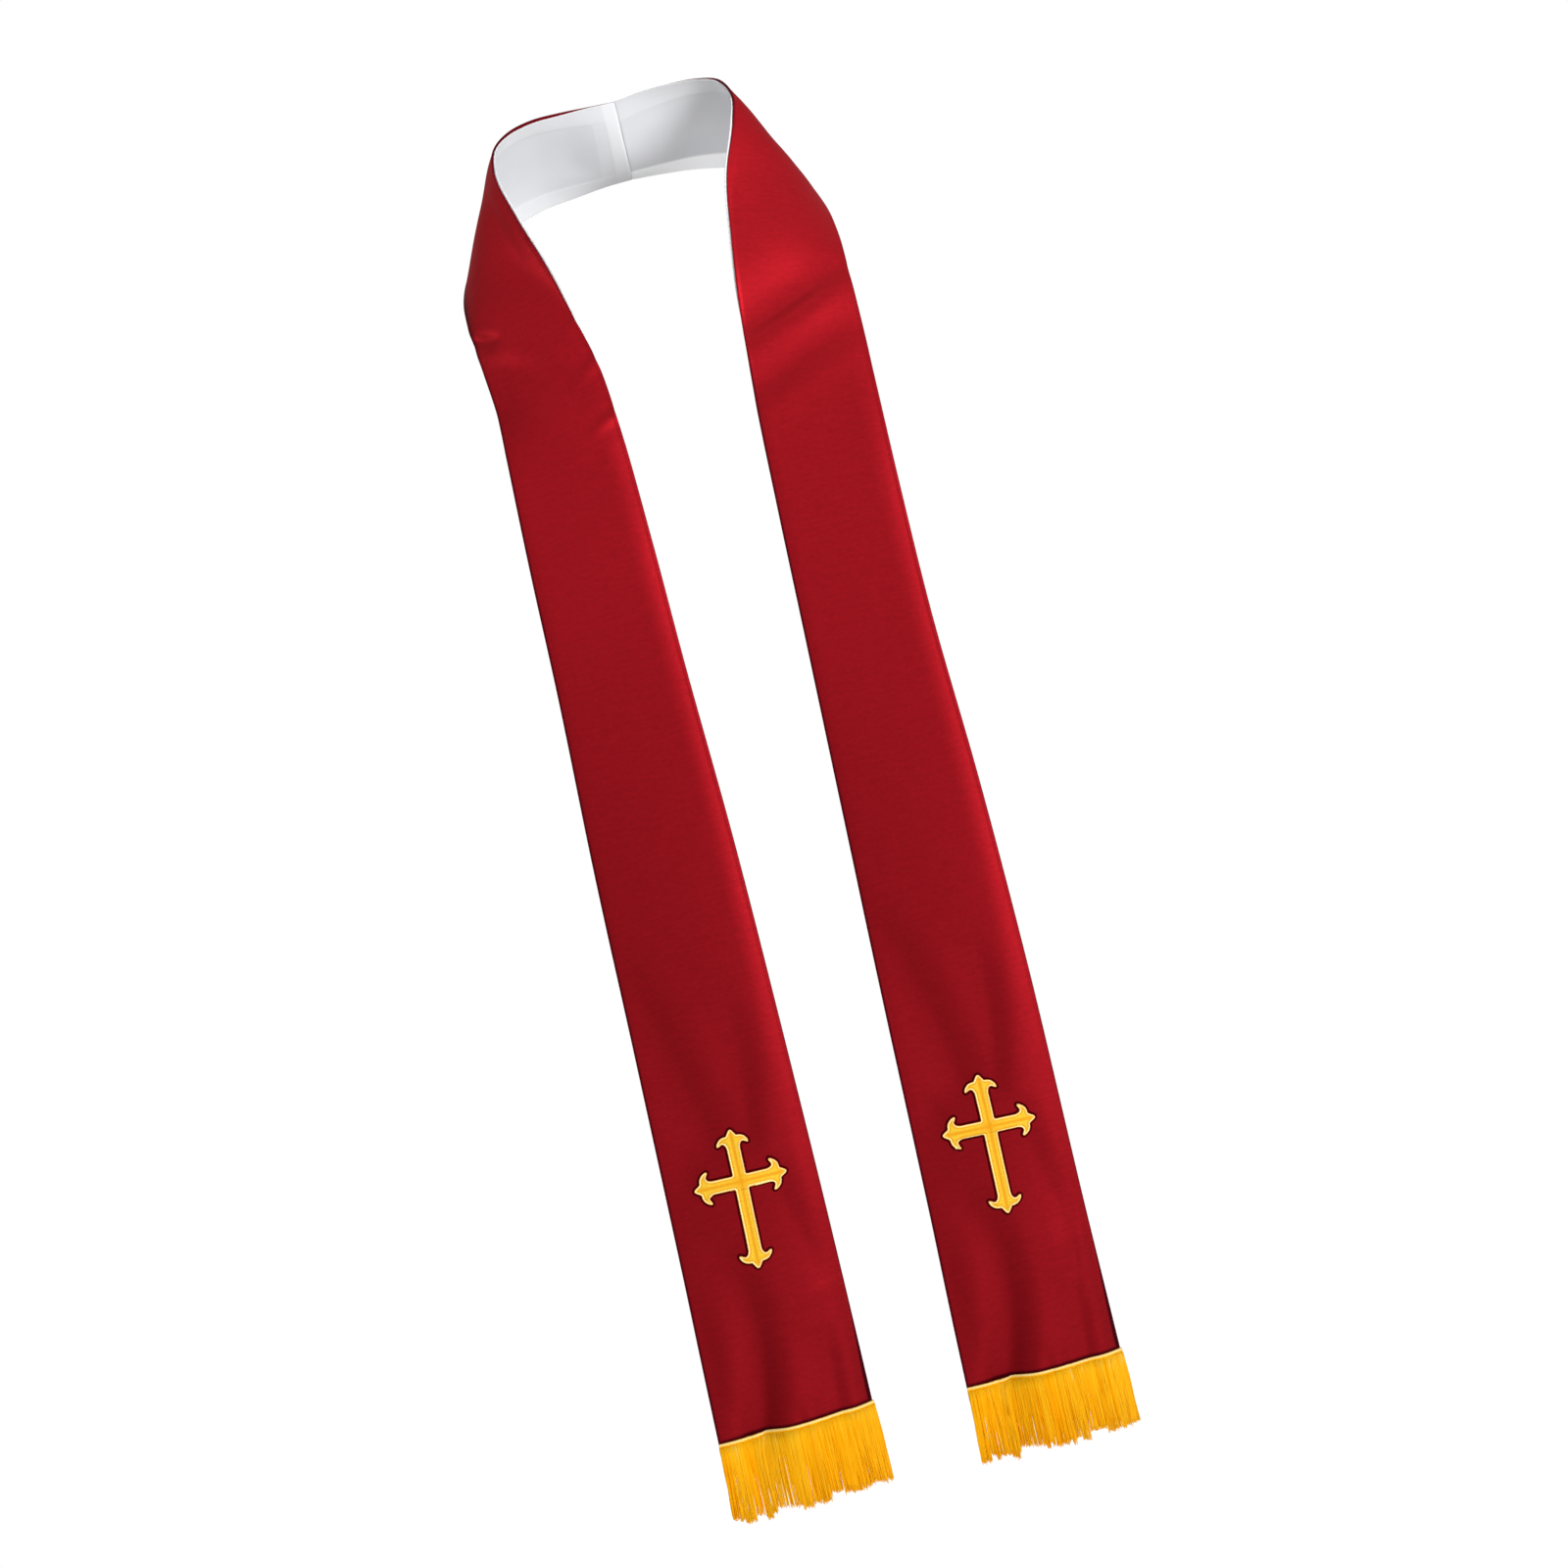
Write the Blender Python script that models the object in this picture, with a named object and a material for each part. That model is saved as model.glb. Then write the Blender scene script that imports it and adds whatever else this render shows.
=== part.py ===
"""Clerical stole as worn, with nobody in it.

A lined red band goes round the back of the neck, over both shoulders and down the
front in two hanging ends. Each end carries a gold applique cross and a gold fringe.
The frame: +Z is up, the wearer faces -Y, +X is on the right as seen from the front,
and the origin is the top of the centre-back seam, where the neck carries the stole.
"""

import bpy
import bmesh
from bisect import bisect_right
from collections import namedtuple
from math import cos, exp, hypot, pi, sin
from mathutils import Matrix, Vector
from mathutils.geometry import delaunay_2d_cdt

MM = 0.001                     # all sizes and tables below are in millimetres

# ---- cloth -------------------------------------------------------------------
FACE_WALL = 1.2                # red face with its interlining
LINING_WALL = 1.0              # white lining
GAP = 0.3                      # clear space between pieces that are sewn together
LINING_INSET = 1.5             # the lining is stitched this far inside the face's edge

# ---- lengths along the band, from the centre-back seam -------------------------
CLOSE_END = 450.0              # the sections are close together round the neck, to here
CLOSE_STEP = 12.5
SEAM_FADE = 60.0               # from here to the seam the sections turn square to it
FALL_STEP = 25.9               # and further apart down the hanging end
HEADING_TOP = 1227.0           # top of the fringe's woven heading
CLOTH_END = 1238.0             # hem of face and lining, behind the heading
CELLS_ACROSS = 8

# ---- fringe --------------------------------------------------------------------
HEADING_WALL = 1.2
HEADING_BELOW_HEM = 1.5        # the heading reaches this far below the cloth
STRANDS = 98                   # locks in one fringe
STRAND_WIDTH = 0.85
STRAND_LENGTH = 49.0
STRAND_UNEVEN = 2.6            # how much the ends differ in length
STRAND_TIP = 0.55              # a tip's size, as a share of the root's
STRAND_LEVELS = 2
CLUMP_SWAY = 0.9               # sideways wave that draws the locks into clumps
CLUMPS = 10                    # waves across the fringe
FLARE = 2.5                    # how far the fringe spreads at its sides

# ---- cross ---------------------------------------------------------------------
CROSS_WALL = 1.2
# where the arms cross: distance along the band, and share of the width from the left
CrossPlace = namedtuple("CrossPlace", "along across")
CROSS_PLACES = {
    "left": CrossPlace(1020.0, 0.497),
    "right": CrossPlace(1024.0, 0.502),
}
CROSS_TOP = 43.0               # crossing to the tip of the upper arm
CROSS_FOOT = 72.0              # crossing to the tip of the lower arm
CROSS_ARM = 38.5               # crossing to the tip of a side arm
CROSS_HALF_WIDTH = 5.6         # half the width of a straight arm
SNAP = 0.05                    # corners nearer than this are one

# One end of an arm: a pointed bud with a curled lobe on each side of it.
# back: distance from the arm's tip; aside: distance from its centre line.
BudPoint = namedtuple("BudPoint", "back aside")
BUD = [
    BudPoint(0.0, 0.0),
    BudPoint(2.4, 2.4),
    BudPoint(5.2, 3.5),
    BudPoint(6.7, 4.6),
    BudPoint(6.6, 7.4),
    BudPoint(8.0, 10.4),
    BudPoint(11.0, 12.9),
    BudPoint(13.2, 12.6),
    BudPoint(12.0, 10.2),
    BudPoint(12.4, 8.0),
    BudPoint(15.0, CROSS_HALF_WIDTH),
]

# ---- sections of the band --------------------------------------------------------
# along: distance from the centre-back seam. neck_*: the edge next to the neck.
# edge_*: the other edge. swell_*: how far the section bows out of its chord, a third
# of the way across from each edge; below zero it is hollow.
Section = namedtuple(
    "Section", "along neck_x neck_y neck_z edge_x edge_y edge_z swell_neck swell_edge")

RIGHT_SECTIONS = [
    Section(0, 0, 0, 0, 0, 55, -58, -10, -10),
    Section(25, 24, -6, 2, 27, 52, -60, -6, -6),
    Section(50, 48, -15, 1, 54, 45, -64, -1, -1),
    Section(75, 72, -25, -2, 79, 36, -70, 2, 2),
    Section(100, 90, -38, -10, 102, 24, -77, 4, 3),
    Section(125, 97, -54, -28, 122, 10, -88, 6, 5),
    Section(150, 93, -65, -50, 137, -7, -101, 5, 8),
    Section(200, 78, -86, -95, 152, -42, -132, 2, 8),
    Section(250, 70, -103, -142, 157, -77, -166, 3, 5),
    Section(300, 64, -119, -190, 157, -109, -204, 1, 4),
    Section(350, 60, -133, -239, 157, -131, -248, 1, 3),
    Section(400, 57, -146, -287, 156, -150, -292, 0, 0),
    Section(500, 54, -166, -386, 155, -169, -388, 0, 0),
    Section(600, 52, -171, -485, 156, -172, -486, 0, 0),
    Section(750, 49, -171, -635, 163, -171, -636, 1, 1),
    Section(900, 46, -171, -785, 167, -168, -786, 1, 3),
    Section(1100, 43, -171, -985, 168, -158, -986, 2, 7),
    Section(1240, 40, -170, -1125, 170, -145, -1126, 3, 10),
]

LEFT_SECTIONS = [
    Section(0, 0, 0, 0, 0, 55, -58, -10, -10),
    Section(25, -24, -8, -1, -27, 52, -60, -5, -7),
    Section(50, -48, -16, -2, -53, 45, -65, -1, -1),
    Section(75, -72, -27, -5, -79, 36, -70, 2, 2),
    Section(100, -93, -40, -13, -102, 23, -79, 4, 4),
    Section(125, -107, -54, -27, -121, 9, -90, 5, 6),
    Section(150, -111, -69, -47, -137, -6, -103, 2, 7),
    Section(200, -101, -94, -92, -157, -40, -132, -2, 6),
    Section(250, -86, -113, -138, -161, -74, -168, -3, 4),
    Section(300, -73, -127, -185, -157, -102, -210, -1, 4),
    Section(350, -61, -137, -235, -152, -124, -255, 2, 3),
    Section(400, -56, -148, -285, -152, -147, -294, 0, 0),
    Section(500, -51, -166, -385, -153, -170, -389, 0, 0),
    Section(600, -48, -171, -485, -154, -173, -488, 0, 0),
    Section(750, -42, -171, -635, -158, -173, -638, 1, 1),
    Section(900, -39, -169, -785, -160, -173, -788, 3, 1),
    Section(1100, -37, -158, -985, -163, -173, -988, 7, 2),
    Section(1240, -37, -145, -1125, -166, -172, -1127, 10, 3),
]

# ---- folds -------------------------------------------------------------------------
# A soft trough from one place on a panel to another. across is the share of the width
# from the neck edge; depth below zero would be a ridge.
Fold = namedtuple("Fold", "along_1 across_1 along_2 across_2 depth width")

RIGHT_FOLDS = [
    Fold(338, 0.00, 300, 0.90, 4.0, 11),
    Fold(418, 0.15, 380, 0.85, 2.5, 17),
    Fold(112, 0.25, 150, 0.80, 2.0, 12),
    Fold(850, 0.08, 965, 0.36, 4.0, 17),
    Fold(1098, 0.38, 1240, 0.35, 6.0, 17),
]

LEFT_FOLDS = [
    Fold(285, 1.00, 300, 0.70, 2.5, 10),
    Fold(255, 0.00, 300, 0.35, 2.0, 10),
    Fold(325, 0.00, 362, 0.14, 2.5, 10),
    Fold(397, 0.00, 402, 0.28, 2.0, 11),
    Fold(112, 0.25, 150, 0.80, 2.0, 12),
    Fold(846, 0.92, 965, 0.65, 4.0, 17),
    Fold(1096, 0.63, 1240, 0.65, 6.0, 17),
]

# side is +1 for the half on the right as seen from the front, -1 for the left one
Half = namedtuple("Half", "name side sections folds")
HALVES = [
    Half("left", -1, LEFT_SECTIONS, LEFT_FOLDS),
    Half("right", +1, RIGHT_SECTIONS, RIGHT_FOLDS),
]


def clear_scene():
    for obj in list(bpy.data.objects):
        bpy.data.objects.remove(obj, do_unlink=True)


def make_material(name, colour, roughness, sheen):
    material = bpy.data.materials.new(name)
    material.use_nodes = True
    shader = material.node_tree.nodes["Principled BSDF"]
    shader.inputs["Base Color"].default_value = (*colour, 1.0)
    shader.inputs["Roughness"].default_value = roughness
    shader.inputs["Metallic"].default_value = 0.0
    shader.inputs["Sheen Weight"].default_value = sheen
    return material


# ---- the band's surface ---------------------------------------------------------------

def slope(rows, column, index):
    """Slope of a column at one row: the mean of its two neighbours' slopes, weighted."""
    def step(first):
        here, following = rows[first], rows[first + 1]
        run = following.along - here.along
        return (getattr(following, column) - getattr(here, column)) / run, run
    if index == 0:
        return step(0)[0]
    if index == len(rows) - 1:
        return step(index - 1)[0]
    before, run_before = step(index - 1)
    after, run_after = step(index)
    return (before * run_after + after * run_before) / (run_before + run_after)


def read_table(rows, column, along):
    """Smooth curve through one column of a table, read at a distance along the band."""
    stations = [row.along for row in rows]
    index = min(max(bisect_right(stations, along) - 1, 0), len(rows) - 2)
    low, high = rows[index], rows[index + 1]
    run = high.along - low.along
    u = (along - low.along) / run
    value_low, value_high = getattr(low, column), getattr(high, column)
    slope_low, slope_high = slope(rows, column, index), slope(rows, column, index + 1)
    return ((2 * u**3 - 3 * u**2 + 1) * value_low + (u**3 - 2 * u**2 + u) * run * slope_low
            + (3 * u**2 - 2 * u**3) * value_high + (u**3 - u**2) * run * slope_high)


def edge_points(half, along):
    """The neck edge and the other edge of the band at one distance along it."""
    neck = Vector([read_table(half.sections, "neck_" + axis, along) for axis in "xyz"])
    edge = Vector([read_table(half.sections, "edge_" + axis, along) for axis in "xyz"])
    return neck, edge


def outward(half, along):
    """Direction that the red side faces, square to the band's middle line and chord."""
    before, after = edge_points(half, max(along - 1.0, 0.0)), edge_points(half, along + 1.0)
    neck, edge = edge_points(half, along)
    run = (after[0] + after[1]) - (before[0] + before[1])
    facing = (run.cross(edge - neck) * half.side).normalized()
    facing.x *= min(along / SEAM_FADE, 1.0)
    return facing.normalized()


def fold_depth(half, along, across, width):
    """All the folds together: each is deepest on its line and fades to both sides."""
    depth = 0.0
    for fold in half.folds:
        start_x, start_y = fold.along_1, fold.across_1 * width
        run_x, run_y = fold.along_2 - start_x, fold.across_2 * width - start_y
        from_x, from_y = along - start_x, across * width - start_y
        share = (from_x * run_x + from_y * run_y) / (run_x**2 + run_y**2)
        share = min(max(share, 0.0), 1.0)
        distance = hypot(from_x - share * run_x, from_y - share * run_y)
        depth += fold.depth * exp(-(distance / fold.width)**2)
    return depth


def band_point(half, along, across):
    """A point of the face's inner side. across runs from 0 at the neck edge to 1."""
    neck, edge = edge_points(half, along)
    swell_neck = read_table(half.sections, "swell_neck", along)
    swell_edge = read_table(half.sections, "swell_edge", along)
    bow = 6.75 * across * (1 - across) * (swell_neck * (1 - across) + swell_edge * across)
    bow -= fold_depth(half, along, across, (edge - neck).length)
    return neck.lerp(edge, across) + outward(half, along) * bow


def band_normal(half, along, across):
    """Unit vector square to the band's surface, towards its red side."""
    reach = 0.5
    low = max(along - reach, 0.0)
    run = band_point(half, along + reach, across) - band_point(half, low, across)
    span = band_point(half, along, across + 0.01) - band_point(half, along, across - 0.01)
    facing = run.cross(span) * half.side
    if along == 0.0:
        facing.x = 0.0
    return facing.normalized()


def along_rows():
    """Distances of the grid's rows: close round the neck, then wider, then the hem."""
    rows = [CLOSE_STEP * k for k in range(int(CLOSE_END / CLOSE_STEP) + 1)]
    count = round((HEADING_TOP - CLOSE_END) / FALL_STEP)
    step = (HEADING_TOP - CLOSE_END) / count
    return rows + [CLOSE_END + step * (k + 1) for k in range(count)] + [CLOTH_END]


def half_grid(half):
    """Rows of (point, normal) pairs on the face's inner side, parted at the back seam."""
    grid = []
    for along in along_rows():
        row = []
        for column in range(CELLS_ACROSS + 1):
            across = column / CELLS_ACROSS
            point = band_point(half, along, across)
            if along == 0.0:
                point.x = half.side * GAP / 2
            row.append((point, band_normal(half, along, across)))
        grid.append(row)
    return grid


def layer(grid, lift):
    """The grid's points, moved out of the surface by lift."""
    return [[point + normal * lift for point, normal in row] for row in grid]


def pull_in(points, inset):
    """Move a layer's two long edges inwards along its own facets."""
    for row in points:
        for edge, inner in ((0, 1), (-1, -2)):
            row[edge] = row[edge].lerp(row[inner], inset / (row[inner] - row[edge]).length)
    return points


# ---- solids ------------------------------------------------------------------------------

def new_object(name, mesh_builder, material):
    """Close a bmesh into one named object with outward faces and its own material."""
    bmesh.ops.recalc_face_normals(mesh_builder, faces=mesh_builder.faces)
    mesh_builder.transform(Matrix.Scale(MM, 4))
    mesh = bpy.data.meshes.new(name)
    mesh_builder.to_mesh(mesh)
    mesh_builder.free()
    mesh.materials.append(material)
    obj = bpy.data.objects.new(name, mesh)
    bpy.context.collection.objects.link(obj)
    return obj


def wall(name, outer, inner, material):
    """Closed wall between two grids of points, every cell split along one diagonal."""
    builder = bmesh.new()
    front = [[builder.verts.new(point) for point in row] for row in outer]
    back = [[builder.verts.new(point) for point in row] for row in inner]
    last_row, last_column = len(front) - 1, len(front[0]) - 1

    for grid in (front, back):
        for i in range(last_row):
            for j in range(last_column):
                a, b = grid[i][j], grid[i][j + 1]
                c, d = grid[i + 1][j + 1], grid[i + 1][j]
                builder.faces.new((a, b, c))
                builder.faces.new((a, c, d))

    for j in (0, last_column):
        for i in range(last_row):
            builder.faces.new((front[i][j], front[i + 1][j], back[i + 1][j], back[i][j]))
    for i in (0, last_row):
        for j in range(last_column):
            builder.faces.new((front[i][j], front[i][j + 1], back[i][j + 1], back[i][j]))
    return new_object(name, builder, material)


def make_face(half, grid, material):
    return wall("face_" + half.name, layer(grid, FACE_WALL), layer(grid, 0.0), material)


def make_lining(half, grid, material):
    """Lining on the wearer's side of the face, its long edges a little inside."""
    outer = pull_in(layer(grid, -GAP), LINING_INSET)
    inner = pull_in(layer(grid, -GAP - LINING_WALL), LINING_INSET)
    return wall("lining_" + half.name, outer, inner, material)


# ---- cross -------------------------------------------------------------------------------

def cross_outline():
    """Outline of the cross, foot at the bottom: four arms that end in buds."""
    points = []
    for quarter, length in enumerate((CROSS_TOP, CROSS_ARM, CROSS_FOOT, CROSS_ARM)):
        turn = -quarter * pi / 2
        left = [(-bud.aside, length - bud.back) for bud in reversed(BUD[1:])]
        right = [(bud.aside, length - bud.back) for bud in BUD]
        corner = [(CROSS_HALF_WIDTH, CROSS_HALF_WIDTH)]
        for x, y in left + right + corner:
            points.append((x * cos(turn) - y * sin(turn), x * sin(turn) + y * cos(turn)))
    return points


def cell_of(rows, value):
    """Index of the grid cell that holds a value, and how far into the cell it is."""
    index = min(max(bisect_right(rows, value) - 1, 0), len(rows) - 2)
    return index, (value - rows[index]) / (rows[index + 1] - rows[index])


def on_facets(points, along, across):
    """The point of a layer's facets at a place given along and across the panel."""
    i, v = cell_of(along_rows(), along)
    j, u = cell_of([k / CELLS_ACROSS for k in range(CELLS_ACROSS + 1)], across)
    a, b = points[i][j], points[i][j + 1]
    c, d = points[i + 1][j + 1], points[i + 1][j]
    if u > v:
        return a + (b - a) * u + (c - b) * v
    return a + (d - a) * v + (c - d) * u


def inside(point, outline):
    """True where a line from the point towards +x crosses the outline an odd number of times."""
    crossings = 0
    for k, corner in enumerate(outline):
        before = outline[k - 1]
        if (corner.y > point.y) != (before.y > point.y):
            share = (point.y - corner.y) / (before.y - corner.y)
            crossings += corner.x + share * (before.x - corner.x) > point.x
    return crossings % 2 == 1


def flat_cross(half, width):
    """Triangles of the cross drawn flat, cut along the panel's grid lines. A point is
    the share of the panel's width and the distance along the band."""
    place = CROSS_PLACES[half.name]
    centre = place.across if half.side > 0 else 1 - place.across
    outline = [(centre + half.side * x / width, place.along - y) for x, y in cross_outline()]
    low, high = min(y for _, y in outline), max(y for _, y in outline)

    points, lines = list(outline), []
    for column in range(1, CELLS_ACROSS):
        lines.append(((column / CELLS_ACROSS, low), (column / CELLS_ACROSS, high)))
    for along in along_rows():
        if low < along < high:
            lines.append(((0.0, along), (1.0, along)))
    for line in lines:
        points += line
    edges = [(k, k + 1) for k in range(len(outline), len(points), 2)]
    scaled = [Vector((x * width, y)) for x, y in points]
    edges += [(k, (k + 1) % len(outline)) for k in range(len(outline))]
    verts, _, faces, *_ = delaunay_2d_cdt(scaled, edges, [], 0, SNAP)
    drawn = scaled[:len(outline)]
    kept = [face for face in faces if inside(sum((verts[k] for k in face), Vector((0, 0))) / 3, drawn)]
    return [(vert.x / width, vert.y) for vert in verts], kept


def make_cross(half, grid, material):
    """Thick applique: the flat cross laid on the panel's facets and moved out."""
    neck, edge = edge_points(half, CROSS_PLACES[half.name].along)
    places, triangles = flat_cross(half, (edge - neck).length)

    builder = bmesh.new()
    levels = []
    for lift in (FACE_WALL + GAP, FACE_WALL + GAP + CROSS_WALL):
        points = layer(grid, lift)
        levels.append([builder.verts.new(on_facets(points, along, across))
                       for across, along in places])
    low, high = levels
    rim = set()
    for triangle in triangles:
        for level in levels:
            builder.faces.new([level[k] for k in triangle])
        rim ^= {frozenset((triangle[k - 1], triangle[k])) for k in range(3)}
    for first, second in rim:
        builder.faces.new((low[first], low[second], high[second], high[first]))
    unused = [vert for vert in builder.verts if not vert.link_faces]
    bmesh.ops.delete(builder, geom=unused, context="VERTS")
    return new_object("cross_" + half.name, builder, material)


# ---- fringe ------------------------------------------------------------------------------

def strand_offset(half, share, index, level):
    """Where a lock's section hangs, against its root, at a share of its length."""
    sway = CLUMP_SWAY * sin(2 * pi * CLUMPS * share) * level
    spread = FLARE * half.side * (2 * share - 1) ** 3 * level
    length = STRAND_LENGTH + STRAND_UNEVEN * (sin(1.7 * index) + cos(2.9 * index)) / 2
    return Vector((sway + spread, 0.0, -length * level))


def make_fringe(half, grid, material):
    """Woven heading on the hem with locks hanging from it, all one comb-shaped solid."""
    rows = {}
    for face_name, lift in (("back", FACE_WALL + GAP), ("front", FACE_WALL + GAP + HEADING_WALL)):
        points = layer(grid, lift)
        drop = Vector((0, 0, -HEADING_BELOW_HEM))
        rows[face_name] = points[-2], [point + drop for point in points[-1]]

    def place(row, across):
        j, u = cell_of([k / CELLS_ACROSS for k in range(CELLS_ACROSS + 1)], across)
        return row[j].lerp(row[j + 1], u)

    width = (grid[-1][-1][0] - grid[-1][0][0]).length
    half_strand = STRAND_WIDTH / width / 2
    stations = []
    for k in range(STRANDS):
        centre = (k + 0.5) / STRANDS
        stations += [centre - half_strand, centre + half_strand]
    stations = [0.0] + stations[1:-1] + [1.0]

    builder = bmesh.new()
    verts = {}
    for face_name, (top_row, low_row) in rows.items():
        for k, across in enumerate(stations):
            verts[face_name, "top", k] = builder.verts.new(place(top_row, across))
            verts[face_name, "low", k] = builder.verts.new(place(low_row, across))

    last = len(stations) - 1
    for k in range(last):
        for side_name in ("front", "back"):
            builder.faces.new([verts[side_name, "top", k], verts[side_name, "top", k + 1],
                               verts[side_name, "low", k + 1], verts[side_name, "low", k]])
        builder.faces.new([verts["front", "top", k], verts["front", "top", k + 1],
                           verts["back", "top", k + 1], verts["back", "top", k]])
        if k % 2 == 1:
            builder.faces.new([verts["front", "low", k], verts["front", "low", k + 1],
                               verts["back", "low", k + 1], verts["back", "low", k]])
    for k in (0, last):
        builder.faces.new([verts["front", "top", k], verts["front", "low", k],
                           verts["back", "low", k], verts["back", "top", k]])

    for index in range(STRANDS):
        k = 2 * index
        root = [verts["front", "low", k], verts["front", "low", k + 1],
                verts["back", "low", k + 1], verts["back", "low", k]]
        middle = sum((vert.co for vert in root), Vector()) / len(root)
        ring = root
        for step in range(1, STRAND_LEVELS + 1):
            level = step / STRAND_LEVELS
            size = 1 + (STRAND_TIP - 1) * level
            hang = strand_offset(half, (index + 0.5) / STRANDS, index, level)
            lower = [builder.verts.new(middle + (vert.co - middle) * size + hang)
                     for vert in root]
            for side in range(len(root)):
                following = (side + 1) % len(root)
                builder.faces.new([ring[side], ring[following],
                                   lower[following], lower[side]])
            ring = lower
        builder.faces.new(ring)
    return new_object("fringe_" + half.name, builder, material)


def build():
    clear_scene()
    red = make_material("red_cloth", (0.42, 0.012, 0.022), 0.55, 0.3)
    white = make_material("white_lining", (0.72, 0.73, 0.75), 0.8, 0.0)
    gold_thread = make_material("gold_thread", (0.95, 0.52, 0.05), 0.45, 0.2)
    gold_fringe = make_material("gold_fringe", (1.0, 0.42, 0.01), 0.5, 0.2)
    for half in HALVES:
        grid = half_grid(half)
        make_face(half, grid, red)
        make_lining(half, grid, white)
        make_cross(half, grid, gold_thread)
        make_fringe(half, grid, gold_fringe)


build()
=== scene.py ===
"""Clerical stole, worn round an empty neck: the visible cloth, crosses and fringes.

The band is two halves that meet in a seam behind the neck. Every piece is laid on the
same curved surface, so face, lining, cross and fringe keep their places on each other.
Sizes in the tables are millimetres; the finished meshes are metres.
"""

from collections import namedtuple
from math import radians

import bpy
import numpy as np
from mathutils import Matrix, Vector


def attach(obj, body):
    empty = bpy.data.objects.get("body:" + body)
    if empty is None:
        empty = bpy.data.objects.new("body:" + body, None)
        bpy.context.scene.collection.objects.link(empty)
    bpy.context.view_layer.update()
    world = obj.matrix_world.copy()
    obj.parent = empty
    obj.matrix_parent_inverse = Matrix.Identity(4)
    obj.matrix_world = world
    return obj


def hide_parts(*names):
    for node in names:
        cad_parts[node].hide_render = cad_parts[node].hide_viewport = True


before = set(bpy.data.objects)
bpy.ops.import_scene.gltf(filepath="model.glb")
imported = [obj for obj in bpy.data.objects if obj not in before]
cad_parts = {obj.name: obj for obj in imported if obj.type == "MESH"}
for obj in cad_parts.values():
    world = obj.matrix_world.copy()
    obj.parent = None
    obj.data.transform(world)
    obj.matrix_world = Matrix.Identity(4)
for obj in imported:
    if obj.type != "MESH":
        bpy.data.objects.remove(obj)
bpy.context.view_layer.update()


# Camera, floor and light: a plain studio. The stole hangs as high as a standing wearer
# carries it, over a pale floor that runs out into white. A large soft lamp stands at the
# right, and four small ones fill in the shoulders and the neck.

CAMERA_PLACE = (0.0081, -3.17, -0.602)
CAMERA_LENS = 85.0
CAMERA_TILT = -13.2  # degrees about the line of sight
CLEAR_TO = 60.0  # end of the camera's view, past the whole floor
FLOOR_LEVEL = -1.45
FLOOR_REACH = 9.0
FLOOR_COLOUR = (0.9, 0.9, 0.905, 1.0)
FLOOR_GLOW = 0.64
FADE_START, FADE_END = 1.0, 3.6  # distances over which the floor fades out
WHITE = (1.0, 1.0, 1.0, 1.0)
SURROUND_LIGHT = 0.43

# Spot lamps. cone is the whole angle in degrees, soft the radius of the lamp's face.
Lamp = namedtuple("Lamp", "name place aim power cone soft")
LAMPS = [
    Lamp("key", (2.2, -2.55, -0.15), (0.0, -0.1, -0.17), 535.0, 47.0, 0.75),
    Lamp("overhead", (0.0, -0.5, 1.4), (0.0, -0.08, -0.12), 10.0, 30.0, 0.2),
    Lamp("from_right", (1.0, -1.2, 0.15), (0.06, -0.1, -0.165), 72.0, 24.0, 0.2),
    Lamp("from_left", (-1.2, -0.5, 0.15), (-0.13, -0.04, -0.06), 54.0, 22.0, 0.2),
    Lamp("into_neck", (-0.75, -1.6, -0.25), (0.048, 0.02, -0.068), 125.0, 3.3, 0.05),
]


def lead_in(tree, node, inputs):
    """Set a node's inputs, by label or number, to values, or lead sockets into them."""
    for key, value in inputs.items():
        if isinstance(value, bpy.types.NodeSocket):
            tree.links.new(value, node.inputs[key])
        else:
            node.inputs[key].default_value = value


def add_node(tree, kind, inputs, **properties):
    """A shader node with its properties set by their names, and its inputs."""
    node = tree.nodes.new(kind)
    for name, value in properties.items():
        setattr(node, name, value)
    lead_in(tree, node, inputs)
    return node


def place_object(name, data):
    """An object at the origin that holds this data, put in the scene."""
    holder = bpy.data.objects.new(name, data)
    bpy.context.collection.objects.link(holder)
    return holder


camera_data = bpy.data.cameras.new("camera")
camera_data.lens = CAMERA_LENS
camera_data.clip_end = CLEAR_TO
camera = place_object("camera", camera_data)
camera.matrix_world = (Matrix.Translation(CAMERA_PLACE) @ Matrix.Rotation(radians(90), 4, "X")
                       @ Matrix.Rotation(radians(CAMERA_TILT), 4, "Z"))
bpy.context.scene.camera = camera
bpy.context.scene.view_settings.view_transform = "Standard"

floor_mesh = bpy.data.meshes.new("floor")
floor_mesh.from_pydata([(x * FLOOR_REACH, y * FLOOR_REACH, FLOOR_LEVEL)
                        for x, y in ((-1, -1), (1, -1), (1, 1), (-1, 1))], [], [(0, 1, 2, 3)])
floor = place_object("floor", floor_mesh)
floor_paint = bpy.data.materials.new("pale_floor")
floor_paint.use_nodes = True
tree = floor_paint.node_tree
tree.nodes.clear()
ground = add_node(tree, "ShaderNodeTexCoord", {})
from_middle = add_node(tree, "ShaderNodeVectorMath", {0: ground.outputs["Object"]},
                       operation="LENGTH")
fade = add_node(
    tree, "ShaderNodeMapRange", {"Value": from_middle.outputs["Value"], "From Min": FADE_START,
                                 "From Max": FADE_END}, interpolation_type="SMOOTHSTEP")
matt = add_node(tree, "ShaderNodeBsdfPrincipled", {
    "Roughness": 1.0, "Base Color": FLOOR_COLOUR, "Specular IOR Level": 0.0,
    "Emission Color": WHITE, "Emission Strength": FLOOR_GLOW})
clear = add_node(tree, "ShaderNodeBsdfTransparent", {})
blend = add_node(tree, "ShaderNodeMixShader",
                 {0: fade.outputs["Result"], 1: matt.outputs[0], 2: clear.outputs[0]})
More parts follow.
